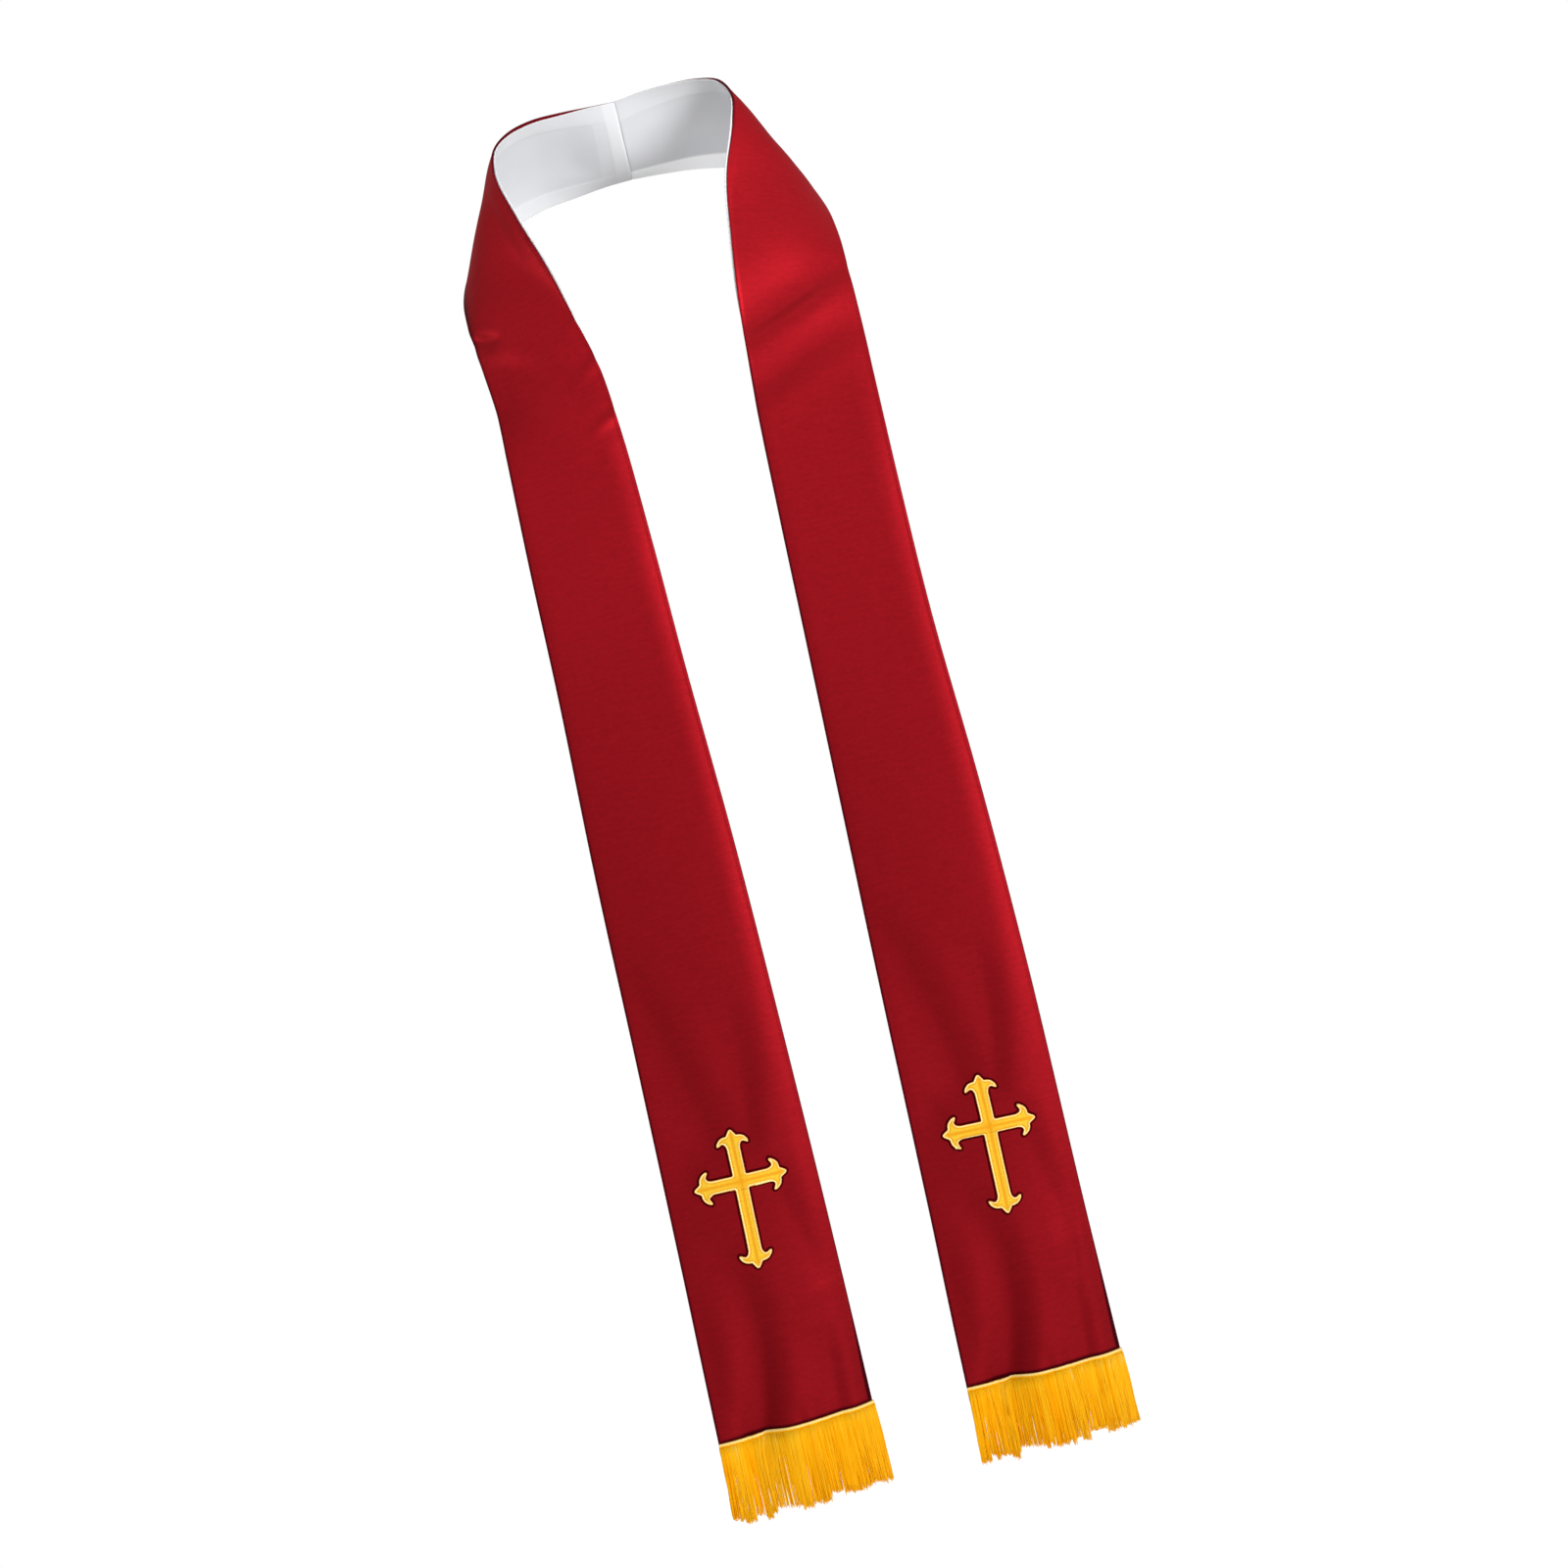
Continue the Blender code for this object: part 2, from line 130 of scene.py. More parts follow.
add_node(tree, "ShaderNodeOutputMaterial", {"Surface": blend.outputs[0]})
floor_mesh.materials.append(floor_paint)

world = bpy.data.worlds.new("white_studio")
world.use_nodes = True
bpy.context.scene.world = world
tree = world.node_tree
tree.nodes.clear()
seen = add_node(tree, "ShaderNodeBackground", {"Color": WHITE, "Strength": 1.0})
cast = add_node(tree, "ShaderNodeBackground", {"Color": WHITE, "Strength": SURROUND_LIGHT})
path = add_node(tree, "ShaderNodeLightPath", {})
blend = add_node(tree, "ShaderNodeMixShader", {0: path.outputs["Is Camera Ray"],
                                               1: cast.outputs[0], 2: seen.outputs[0]})
add_node(tree, "ShaderNodeOutputWorld", {"Surface": blend.outputs[0]})

for lamp in LAMPS:
    light = bpy.data.lights.new(lamp.name, "SPOT")
    light.energy = lamp.power
    light.spot_size, light.spot_blend = radians(lamp.cone), 1.0
    light.shadow_soft_size = lamp.soft
    holder = place_object(lamp.name, light)
    holder.location = lamp.place
    line_of_light = Vector(lamp.aim) - Vector(lamp.place)
    holder.rotation_euler = line_of_light.to_track_quat("-Z", "Y").to_euler()


# Red face, two halves: the outer cloth of the stole, a fine matt satin with thin slubs
# across it, interlined, with its long edges turned under. The halves are seamed behind
# the neck, fall over the shoulders and widen to the hem.

MM = 0.001
FACE_WALL = 1.2  # cloth and interlining together
GAP = 0.3  # clear space between pieces sewn together
SEAM_GAP = 0.04  # what is left open between the two halves
CLOTH_END = 1238.0  # hem, behind the fringe's heading
SEAM_FADE = 60.0  # sections turn square to the back seam over this

# Each row: distance along the band from the centre-back seam; x, y, z of the edge next to
# the neck; x, y, z of the other edge; and how far the section bows out of its chord a third
# of the way across from the one edge and from the other, below zero where it is hollow.
RIGHT_SECTIONS = [
    (0, 0, 0, 0, 0, 55, -58, -10, -10),
    (25, 24, -6, 2, 27, 52, -60, -6, -6),
    (50, 48, -15, 1, 54, 45, -64, -1, -1),
    (75, 72, -25, -2, 79, 36, -70, 2, 2),
    (100, 90, -38, -10, 102, 24, -77, 4, 3),
    (125, 97, -54, -28, 122, 10, -88, 6, 5),
    (150, 93, -65, -50, 137, -7, -101, 5, 8),
    (200, 78, -86, -95, 152, -42, -132, 2, 8),
    (250, 70, -103, -142, 157, -77, -166, 3, 5),
    (300, 64, -119, -190, 157, -109, -204, 1, 4),
    (350, 60, -133, -239, 157, -131, -248, 1, 3),
    (400, 57, -146, -287, 156, -150, -292, 0, 0),
    (500, 54, -166, -386, 155, -169, -388, 0, 0),
    (600, 52, -171, -485, 156, -172, -486, 0, 0),
    (750, 49, -171, -635, 163, -171, -636, 1, 1),
    (900, 46, -171, -785, 167, -168, -786, 1, 3),
    (1100, 43, -171, -985, 168, -158, -986, 2, 7),
    (1240, 40, -170, -1125, 170, -145, -1126, 3, 10),
]

LEFT_SECTIONS = [
    (0, 0, 0, 0, 0, 55, -58, -10, -10),
    (25, -24, -8, -1, -27, 52, -60, -5, -7),
    (50, -48, -16, -2, -53, 45, -65, -1, -1),
    (75, -72, -27, -5, -79, 36, -70, 2, 2),
    (100, -93, -40, -13, -102, 23, -79, 4, 4),
    (125, -107, -54, -27, -121, 9, -90, 5, 6),
    (150, -111, -69, -47, -137, -6, -103, 2, 7),
    (200, -101, -94, -92, -157, -40, -132, -2, 6),
    (250, -86, -113, -138, -161, -74, -168, -3, 4),
    (300, -73, -127, -185, -157, -102, -210, -1, 4),
    (350, -61, -137, -235, -152, -124, -255, 2, 3),
    (400, -56, -148, -285, -152, -147, -294, 0, 0),
    (500, -51, -166, -385, -153, -170, -389, 0, 0),
    (600, -48, -171, -485, -154, -173, -488, 0, 0),
    (750, -42, -171, -635, -158, -173, -638, 1, 1),
    (900, -39, -169, -785, -160, -173, -788, 3, 1),
    (1100, -37, -158, -985, -163, -173, -988, 7, 2),
    (1240, -37, -145, -1125, -166, -172, -1127, 10, 3),
]

# Each row is a soft trough through three places: distance along the band, share of the
# width from the neck edge, and depth there, below zero for a ridge. The last two numbers
# say how far its steeper side spreads, and how many times as far the other does. As seen
# from the front, the steeper side is to the right of a row that runs down the band, and on
# the upper side of one that runs up it.
RIGHT_CREASES = [
    # behind the shoulder, on it, and at the neck edge
    (30, 0.85, 0.3, 55, 0.75, 0.9, 85, 0.8, 0.2, 8, 1.6),
    (112, 0.25, 0.8, 132, 0.5, 1.8, 152, 0.8, 1.6, 11, 1.6),
    (205, 0.05, 0.3, 222, 0.03, 0.6, 242, 0.02, 0.4, 5, 1.6),
    # the two creases where the cloth leaves the chest
    (284, 0.97, 0.2, 319, 0.42, 7.2, 351, -0.3, 2.0, 12, 2.4),
    (353, 0.95, 0.8, 376, 0.38, 4.0, 416, -0.3, 1.5, 12, 1.8),
    # above the cross and beside it
    (845, 0.03, 2.0, 905, 0.24, 3.6, 975, 0.35, 4.0, 15, 2.2),
    (868, 0.67, 0.3, 925, 0.67, 2.4, 984, 0.6, 2.6, 11, 3.0),
    (992, 0.14, 0.2, 1010, 0.17, 0.9, 1030, 0.19, 0.2, 9, 1.6),
    (1004, 0.66, 0.3, 1062, 0.75, 2.4, 1128, 0.86, 0.2, 14, 3.5),
    (1112, 0.87, 0.2, 1140, 0.85, 1.4, 1160, 0.83, 0.2, 5, 1.6),
    # from the cross to the hem
    (1084, 0.28, 2.0, 1147, 0.39, 5.8, 1245, 0.24, 13.0, 11, 1.7),
    (1148, 0.8, 0.3, 1195, 0.79, 3.6, 1245, 0.76, 4.4, 8, 2.4),
    (1110, 0.02, 0.4, 1158, 0.05, 1.8, 1205, 0.05, 0.4, 9, 1.6),
    # puckers of the hem
    (1206, 0.2, 0.2, 1222, 0.2, 1.2, 1245, 0.21, 2.1, 3.5, 1.6),
    (1210, 0.53, 0.2, 1224, 0.53, 1.1, 1245, 0.53, 1.8, 3.5, 1.6),
    (1212, 0.64, 0.2, 1225, 0.64, 1.1, 1245, 0.65, 1.7, 3.0, 1.6),
]

LEFT_CREASES = [
    # behind the shoulder and on it
    (30, 0.85, 0.3, 55, 0.75, 0.9, 85, 0.8, 0.2, 8, 1.6),
    (112, 0.25, 0.8, 132, 0.5, 1.8, 150, 0.8, 1.6, 11, 1.6),
    # a strip beside the neck edge that sinks in, and puckers that lift the edge
    (146, 0.27, 0.4, 198, 0.26, 1.6, 262, 0.22, 0.2, 8, 1.8),
    (307, -0.06, -1.6, 311, 0.06, -1.4, 314, 0.16, -0.2, 4.5, 1.0),
    (342, -0.08, -1.8, 348, 0.08, -1.5, 358, 0.28, -0.2, 5.0, 1.0),
    (389, -0.08, -1.8, 394, 0.08, -1.5, 404, 0.28, -0.2, 5.0, 1.0),
    # a crease from the outer edge, and two soft ridges over the chest
    (272, 0.98, 1.0, 279, 0.87, 2.6, 290, 0.72, 0.4, 5, 1.6),
    (236, 0.92, -1.4, 257, 0.6, -3.4, 302, 0.2, -3.0, 20, 1.4),
    (303, 0.92, 0.6, 323, 0.66, 2.0, 360, 0.24, 0.8, 10, 1.6),
    (368, 0.94, -1.6, 384, 0.58, -2.4, 412, 0.2, -1.0, 16, 1.6),
    # above the cross and beside it
    (840, 0.96, 2.0, 905, 0.8, 3.6, 975, 0.67, 4.0, 15, 2.2),
    (874, 0.33, 0.3, 926, 0.33, 2.4, 982, 0.4, 2.6, 11, 3.0),
    (990, 0.86, 0.2, 1008, 0.83, 0.9, 1028, 0.81, 0.2, 9, 1.6),
    (1002, 0.34, 0.3, 1058, 0.25, 2.4, 1122, 0.14, 0.2, 14, 3.5),
    # from the cross to the hem
    (1080, 0.71, 2.0, 1145, 0.62, 5.8, 1245, 0.74, 13.0, 11, 1.7),
    (1148, 0.2, 0.3, 1190, 0.21, 3.6, 1245, 0.24, 4.4, 8, 2.4),
    (1108, 0.98, 0.4, 1152, 0.95, 1.8, 1198, 0.95, 0.4, 9, 1.6),
    # puckers of the hem
    (1206, 0.8, 0.2, 1222, 0.8, 1.2, 1245, 0.79, 2.1, 3.5, 1.6),
    (1210, 0.47, 0.2, 1224, 0.47, 1.1, 1245, 0.47, 1.8, 3.5, 1.6),
    (1212, 0.36, 0.2, 1224, 0.36, 1.1, 1245, 0.35, 1.7, 3.0, 1.6),
]

CREASE_STEPS = 25  # places at which a crease's line is worked out
CREASE_REACH = 4  # a crease is left out beyond this many widths
RIDGE_SHARE = 0.12  # height of the ridges beside a trough
RIDGE_PLACE = 1.8  # their distance from its line, in widths

# How far the left edge and the right edge of each hanging end curl back, as seen from the
# front, and over how wide a strip.
EDGE_FALLS = {"left": ((0.8, 9.0), (2.6, 19.0)), "right": ((0.8, 9.0), (2.2, 19.0))}
FALL_START = (330, 440)  # stretch over which the edges begin to fall
FALL_EASE = (780, 1080)  # and over which they fall less
FALL_EASE_SHARE = 0.65
SLOPE_ALONG = 0.5  # steps along and across, for the surface's slopes
SLOPE_ACROSS = 0.004

# side is +1 for the half on the right as seen from the front, -1 for the left one
Half = namedtuple("Half", "name side sections creases")
HALVES = [Half("left", -1, np.array(LEFT_SECTIONS, float), np.array(LEFT_CREASES, float)),
          Half("right", +1, np.array(RIGHT_SECTIONS, float), np.array(RIGHT_CREASES, float))]


def matched(*values):
    """The values as arrays of one shape."""
    return np.broadcast_arrays(*(np.asarray(value, float) for value in values))


def unit(vectors):
    return vectors / np.linalg.norm(vectors, axis=-1, keepdims=True)


def smooth_curve(stations, values, at):
    """Curve through rows of values at rising stations: cubic pieces, with the slope at a
    station the mean of the two neighbouring steps, each weighted by the other's run."""
    wide = np.diff(stations)[:, None]
    steps = np.diff(values, axis=0) / wide
    inner = (steps[:-1] * wide[1:] + steps[1:] * wide[:-1]) / (wide[:-1] + wide[1:])
    slopes = np.vstack([steps[:1], inner, steps[-1:]])
    k = np.clip(np.searchsorted(stations, at, side="right") - 1, 0, len(stations) - 2)
    run = wide[k]
    u = (at - stations[k])[..., None] / run
    return ((2 * u**3 - 3 * u**2 + 1) * values[k] + (u**3 - 2 * u**2 + u) * run * slopes[k]
            + (3 * u**2 - 2 * u**3) * values[k + 1] + (u**3 - u**2) * run * slopes[k + 1])


def two_edges(half, along):
    """The neck edge, the other edge and the two swells, at distances along the band."""
    columns = smooth_curve(half.sections[:, 0], half.sections[:, 1:], along)
    return columns[..., 0:3], columns[..., 3:6], columns[..., 6], columns[..., 7]


def band_width(half, along):
    """Length of the straight chord from the neck edge to the other edge."""
    neck, edge, _, _ = two_edges(half, np.asarray(along, float))
    return np.linalg.norm(edge - neck, axis=-1)


def outward(half, along):
    """Direction of a section's bow: the middle line's run crossed with the chord, turned
    square to the back seam over the first stretch."""
    before, after = two_edges(half, np.maximum(along - 1.0, 0.0)), two_edges(half, along + 1.0)
    neck, edge, _, _ = two_edges(half, along)
    run = (after[0] + after[1]) - (before[0] + before[1])
    facing = unit(np.cross(run, edge - neck) * half.side)
    facing[..., 0] *= np.minimum(along / SEAM_FADE, 1.0)
    return unit(facing)


def crease_depth(half, along, across, width):
    """All the creases together. Each is its depth times a bell of the distance to its line,
    less a lower bell to either side, the ridge. The bell's width goes from the steep side's
    to the gentle side's with the sine of the way off the line."""
    along, across, width = matched(along, across, width)
    depth = np.zeros(along.shape)
    t = np.linspace(0, 1, CREASE_STEPS)
    weights = np.stack([(1 - t) * (1 - 2 * t), 4 * t * (1 - t), t * (2 * t - 1)], axis=1)
    for row in half.creases:
        places, spread, gentle = row[:9].reshape(3, 3), row[9], row[10]
        line_along, line_across, line_depth = (weights @ places).T
        far = CREASE_REACH * spread
        near = (along > line_along.min() - far) & (along < line_along.max() + far)
        if not near.any():
            continue
        a, c, w = along[near], across[near], width[near]
        gap_along = a[:, None] - line_along[:-1]
        gap_across = (c[:, None] - line_across[:-1]) * w[:, None]
        run_along = np.diff(line_along)[None, :]
        run_across = np.diff(line_across) * w[:, None]
        reached = gap_along * run_along + gap_across * run_across
        share = np.clip(reached / (run_along**2 + run_across**2), 0, 1)
        distance = np.hypot(gap_along - share * run_along, gap_across - share * run_across)
        nearest = distance.argmin(axis=1)
        pick = np.arange(len(a))
        turn = (run_along * gap_across - run_across * gap_along)[pick, nearest]
        away = distance[pick, nearest]
        sine = turn / (away * np.hypot(run_along, run_across)[pick, nearest] + 1e-9)
        sine = np.clip(sine * half.side, -1.0, 1.0)
        reach = away / (spread * (1 + (gentle - 1) * (1 - sine) / 2))
        here = share[pick, nearest]
        deep = line_depth[nearest] * (1 - here) + line_depth[nearest + 1] * here
        profile = np.exp(-reach**2) - RIDGE_SHARE * np.exp(-(reach - RIDGE_PLACE)**2)
        depth[near] += deep * profile
    return depth


def smooth_step(value, low, high):
    """0 below low, 1 above high, and three squares less two cubes between them."""
    t = np.clip((value - low) / (high - low), 0, 1)
    return t * t * (3 - 2 * t)


def edge_fall(half, along, across, width):
    """How far the cloth has dropped back at its long edges: the square of the share of the
    edge strip, only on the hanging ends, and less near the hem."""
    fall = 0.0
    from_left_and_right = (across, 1 - across)[::half.side]
    for share, (drop, reach) in zip(from_left_and_right, EDGE_FALLS[half.name]):
        fall = fall + drop * np.clip(1 - share * width / reach, 0.0, 1.2) ** 2
    eased = 1 - FALL_EASE_SHARE * smooth_step(along, *FALL_EASE)
    return fall * smooth_step(along, *FALL_START) * eased


def band_point(half, along, across):
    """Points on the face's inner side: the chord from the neck edge to the other edge, plus
    outward times (the bow, less the creases and the falling edges). The bow is 27/4 of across
    times its rest times a blend of the swells, so it has each swell's height about a third of
    the way from that edge. Below the hem the band drops straight down."""
    along, across = matched(along, across)
    below = np.maximum(along - CLOTH_END, 0.0)
    along = np.minimum(along, CLOTH_END)
    neck, edge, swell_neck, swell_edge = two_edges(half, along)
    width = np.linalg.norm(edge - neck, axis=-1)
    bow = 27 / 4 * across * (1 - across) * (swell_neck * (1 - across) + swell_edge * across)
    bow = bow - crease_depth(half, along, across, width) - edge_fall(half, along, across, width)
    points = neck + (edge - neck) * across[..., None] + outward(half, along) * bow[..., None]
    points[..., 2] -= below
    return points


def band_normal(half, along, across):
    """Unit vectors square to the band, towards its red side: the differences of the surface
    along and across it, crossed."""
    along, across = matched(along, across)
    along = np.minimum(along, CLOTH_END - 1.0)
    before = np.maximum(along - SLOPE_ALONG, 0)
    run = band_point(half, along + SLOPE_ALONG, across) - band_point(half, before, across)
    span = (band_point(half, along, across + SLOPE_ACROSS)
            - band_point(half, along, across - SLOPE_ACROSS))
    facing = np.cross(run, span) * half.side
    facing[..., 0] = np.where(along == 0, 0.0, facing[..., 0])
    return unit(facing)


def lifted(half, along, across, lift):
    """Points on the band moved out along its normal by lift, and parted at the back seam."""
    along, across, lift = matched(along, across, lift)
    points = band_point(half, along, across)
    points = points + band_normal(half, along, across) * lift[..., None]
    points[..., 0] = np.where(along == 0, half.side * SEAM_GAP / 2, points[..., 0])
    return points


def on_cloth(across, along):
    """One place on the cloth for each pair of distances across and along it."""
    return np.stack(np.broadcast_arrays(across, along), axis=-1).reshape(-1, 2)


def make_piece(name, points, faces, places, material):
    """A mesh object from points, four-cornered faces, and each point's place on the cloth,
    kept as the map called cloth. Millimetres become metres."""
    points, places = points.reshape(-1, 3), places * MM
    mesh = bpy.data.meshes.new(name)
    mesh.vertices.add(len(points))
    mesh.vertices.foreach_set("co", (points * MM).ravel())
    mesh.loops.add(faces.size)
    mesh.loops.foreach_set("vertex_index", faces.ravel())
    mesh.polygons.add(len(faces))
    mesh.polygons.foreach_set("loop_start", np.arange(0, faces.size, 4))
    mesh.update(calc_edges=True)
    mesh.polygons.foreach_set("use_smooth", np.ones(len(faces), bool))
    cloth_map = mesh.uv_layers.new(name="cloth")
    cloth_map.data.foreach_set("uv", places[faces].ravel())
    mesh.validate()
    mesh.materials.append(material)
    return place_object(name, mesh)


def keep_tone(piece, name, values):
    """A number for each point of a piece, kept under a name that its material reads."""
    tone = piece.data.attributes.new(name, "FLOAT", "POINT")
    tone.data.foreach_set("value", np.ravel(values))


def ring_faces(rows, columns):
    """Faces that lead from each of rows rings to the next one."""
    near = np.arange(rows * columns).reshape(rows, columns)
    far = near + columns
    return np.stack([near, np.roll(near, -1, 1), np.roll(far, -1, 1), far], -1).reshape(-1, 4)


def tube_faces(rows, columns, way):
    """Faces of a tube of flat rings: the first half of each is its outer side, and the second
    half comes back inside it. Faces from the one to the other close both ends. All of them
    are turned over where way is -1."""
    k = np.arange(columns // 2 - 1)
    end = np.stack([k, columns - 1 - k, columns - 2 - k, k + 1], axis=-1)
    faces = np.vstack([ring_faces(rows - 1, columns), end,
                       (end + (rows - 1) * columns)[:, ::-1]])
    return faces[:, ::way]


def cloth_shell(name, half, along, distance, lifts, material):
    """A closed shell of cloth between two lifts from the band, worked out at distances from
    the neck edge. Also gives each corner's distance: out over one side, back over the other."""
    across = distance / band_width(half, along)[:, None]
    outer, inner = (lifted(half, along[:, None], across, lift) for lift in lifts)
    points = np.hstack([outer, inner[:, ::-1]])
    ring = np.hstack([distance, distance[:, ::-1]])
    faces = tube_faces(len(along), points.shape[1], -half.side)
    return make_piece(name, points, faces, on_cloth(ring, along[:, None]), material), ring


def stretched_noise(tree, place, scale, detail=2.0):
    """Noise whose grain is stretched by a scale for each direction of the cloth map."""
    spread = add_node(tree, "ShaderNodeMapping", {"Vector": place, "Scale": (*scale, 1.0)})
    return add_node(tree, "ShaderNodeTexNoise", {
        "Vector": spread.outputs[0], "Scale": 1.0, "Detail": detail,
        "Roughness": 0.55}).outputs["Fac"]


def ramp(tree, value, stops):
    """Colours, or greys given as one number, at rising positions of a value."""
    node = add_node(tree, "ShaderNodeValToRGB", {"Fac": value})
    while len(node.color_ramp.elements) < len(stops):
        node.color_ramp.elements.new(0.5)
    for element, (position, colour) in zip(node.color_ramp.elements, stops):
        colour = (colour,) * 3 if np.isscalar(colour) else colour
        element.position, element.color = position, (*colour, 1.0)
    return node.outputs["Color"]


def mixed(tree, kind, amount, first, second):
    """Two colours mixed; amount, first and second are sockets, numbers or colours."""
    return add_node(tree, "ShaderNodeMix", {0: amount, 6: first, 7: second},
                    data_type="RGBA", blend_type=kind).outputs[2]


def bump(tree, height, strength, distance, **under):
    """Small relief from a value, with its full height in metres, over one led in before."""
    return add_node(tree, "ShaderNodeBump", {
        "Height": height, "Strength": strength, "Distance": distance, **under}).outputs["Normal"]


def read_tone(tree, name):
    """The numbers that a piece keeps under a name, as a socket."""
    return add_node(tree, "ShaderNodeAttribute", {}, attribute_name=name).outputs["Fac"]


def new_finish(name, qualities):
    """A material whose Principled shader has its even qualities set. Also gives its node
    tree, the shader and the socket of the cloth map."""
    material = bpy.data.materials.new(name)
    material.use_nodes = True
    tree = material.node_tree
    shader = tree.nodes["Principled BSDF"]
    lead_in(tree, shader, qualities)
    cloth_map = add_node(tree, "ShaderNodeUVMap", {}, uv_map="cloth").outputs[0]
    return material, tree, shader, cloth_map


RED = (0.25, 0.0058, 0.01, 1.0)
EDGE_RED = (0.035, 0.001, 0.004, 1.0)  # the shadow-dark red of the turned edges

red_cloth, tree, shader, cloth_map = new_finish(
    "red_cloth", {"Roughness": 0.46, "Specular IOR Level": 0.1, "Metallic": 0.4,
                  "Specular Tint": (0.6, 0.06, 0.08, 1.0)})
slubs = stretched_noise(tree, cloth_map, (75, 420), detail=3.0)
long_slubs = stretched_noise(tree, cloth_map, (22, 160))
threads = stretched_noise(tree, cloth_map, (900, 260), detail=1.0)
mottle = stretched_noise(tree, cloth_map, (230, 330), detail=1.0)
colour = RED
for grain, low, high, spread in ((slubs, 0.3, 0.72, 0.06), (long_slubs, 0.3, 0.7, 0.02),
                                 (mottle, 0.3, 0.7, 0.05)):
    shading = ramp(tree, grain, [(low, 1 - spread), (high, 1 + spread)])
    colour = mixed(tree, "MULTIPLY", 1.0, colour, shading)
# painted shadow: the edge tone darkens the red towards EDGE_RED along the edges and just above the
# heading
colour = mixed(tree, "MIX", read_tone(tree, "painted_edge_shadow"), colour, EDGE_RED)
relief = bump(tree, slubs, 0.15, 0.0005, Normal=bump(tree, threads, 0.15, 0.0003))
lead_in(tree, shader, {"Base Color": colour, "Normal": relief})

# Distances from a long edge at which the section is worked out, with the height of the
# rolled edge there above and below the flat cloth's two sides.
EDGE_COLUMNS = np.array([0.0, 0.18, 0.5, 1.0, 1.6, 2.3, 3.0, 3.6, 4.4, 5.6, 7.5])
EDGE_TOP = np.array([0.75, 1.15, 1.38, 1.48, 1.47, 1.38, 1.28, 1.22, 1.2, 1.2, 1.2])
EDGE_UNDER = np.array([0.4, 0.1] + [0.0] * 9)
MIDDLE_COLUMNS = 40
FACE_ROWS = np.r_[np.arange(0, 12), np.linspace(12, 1200, 520), np.linspace(1201, CLOTH_END, 56)]
SEAM_DIP = 0.5  # the face sinks into the back seam
SEAM_DIP_WIDTH = 1.6
HEADING_TOP = {"left": 1223.5, "right": 1227.0}  # where the fringe's heading starts

# Shadow painted into the face's colour along its turned edges and just above the fringe's
# heading: how dark it is, how wide, and the stretches over which it comes and goes. Left
# and right are as seen from the front.
LEFT_LINE_DARK, LEFT_LINE_WIDTH = 0.92, 2.1
LEFT_LINE_START = {"left": (110, 150), "right": (310, 400)}
LEFT_RIM_PALER, LEFT_RIM_WIDTH = 0.6, 0.35
SHOULDER_LINE_WIDTH = 4.5  # wider by this much on the left shoulder
SHOULDER_START, SHOULDER_END = (110, 150), (230, 300)
RIGHT_LINE_DARK, RIGHT_LINE_WIDTH, RIGHT_LINE_SOLID = 0.55, 1.3, 0.55
RIGHT_LINE_START = (130, 200)
HEM_WEDGE_DARK, HEM_WEDGE_DARKENS = 0.4, (1120, 1180)
HEM_WEDGE_WIDTH, HEM_WEDGE_WIDENS = 4.0, (1120, 1230)
NECK_LINE_DARK, NECK_LINE_WIDTH, NECK_LINE_END = 0.8, 1.6, (120, 190)
# painted shadow that the fringe's heading casts on the cloth just above it
HEM_LINE_DARK, HEM_LINE_START = 0.85, (-3.6, -1.6)  # from the heading's top


def columns_across(width, edge_columns, middle):
    """Distances from the neck edge: the edge columns at each side, evenly spaced between."""
    inner = edge_columns[-1]
    share = np.linspace(0, 1, middle + 2)[1:-1]
    centre = inner + share * (width - 2 * inner)
    edge = np.ones_like(width) * edge_columns
    return np.hstack([edge, centre, width - edge[:, ::-1]])


for half in HALVES:
    width = band_width(half, FACE_ROWS)[:, None]
    distance = columns_across(width, EDGE_COLUMNS, MIDDLE_COLUMNS)
    middle = np.ones(MIDDLE_COLUMNS)
    top = np.r_[EDGE_TOP, middle * FACE_WALL, EDGE_TOP[::-1]]
    under = np.r_[EDGE_UNDER, middle * 0.0, EDGE_UNDER[::-1]]
    along = FACE_ROWS[:, None]
    seam = -SEAM_DIP * np.exp(-(along / SEAM_DIP_WIDTH) ** 2)
    face, ring = cloth_shell("red_face_" + half.name, half, FACE_ROWS, distance,
                             (top + seam, under + seam), red_cloth)

    # painted shadow lines: soft on the left edges, crisp on the right edges with a wedge at the
    # hem, along the neck edge behind the neck, and above the heading
    from_left, from_right = (ring, width - ring)[::half.side]
    on_shoulder = smooth_step(along, *SHOULDER_START) * (1 - smooth_step(along, *SHOULDER_END))
    line_width = LEFT_LINE_WIDTH + SHOULDER_LINE_WIDTH * on_shoulder * (half.side < 0)
    left_line = LEFT_LINE_DARK * np.exp(-(from_left / line_width) ** 2)
    left_line = left_line * smooth_step(along, *LEFT_LINE_START[half.name])
    left_line = left_line * (1 - LEFT_RIM_PALER * np.exp(-(from_left / LEFT_RIM_WIDTH) ** 2))
    wedge = RIGHT_LINE_WIDTH + HEM_WEDGE_WIDTH * smooth_step(along, *HEM_WEDGE_WIDENS)
    right_line = 1 - smooth_step(from_right, RIGHT_LINE_SOLID * wedge, wedge)
    dark = RIGHT_LINE_DARK + HEM_WEDGE_DARK * smooth_step(along, *HEM_WEDGE_DARKENS)
    right_line = right_line * dark * smooth_step(along, *RIGHT_LINE_START)
    neck_line = NECK_LINE_DARK * np.exp(-(ring / NECK_LINE_WIDTH) ** 2)
    neck_line = neck_line * (1 - smooth_step(along, *NECK_LINE_END))
    hem_line = HEM_LINE_DARK * smooth_step(along - HEADING_TOP[half.name], *HEM_LINE_START)
    keep_tone(face, "painted_edge_shadow", np.maximum.reduce(
        [left_line, right_line, neck_line, np.broadcast_to(hem_line, ring.shape)]))
    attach(face, "root")
    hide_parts("face_" + half.name)
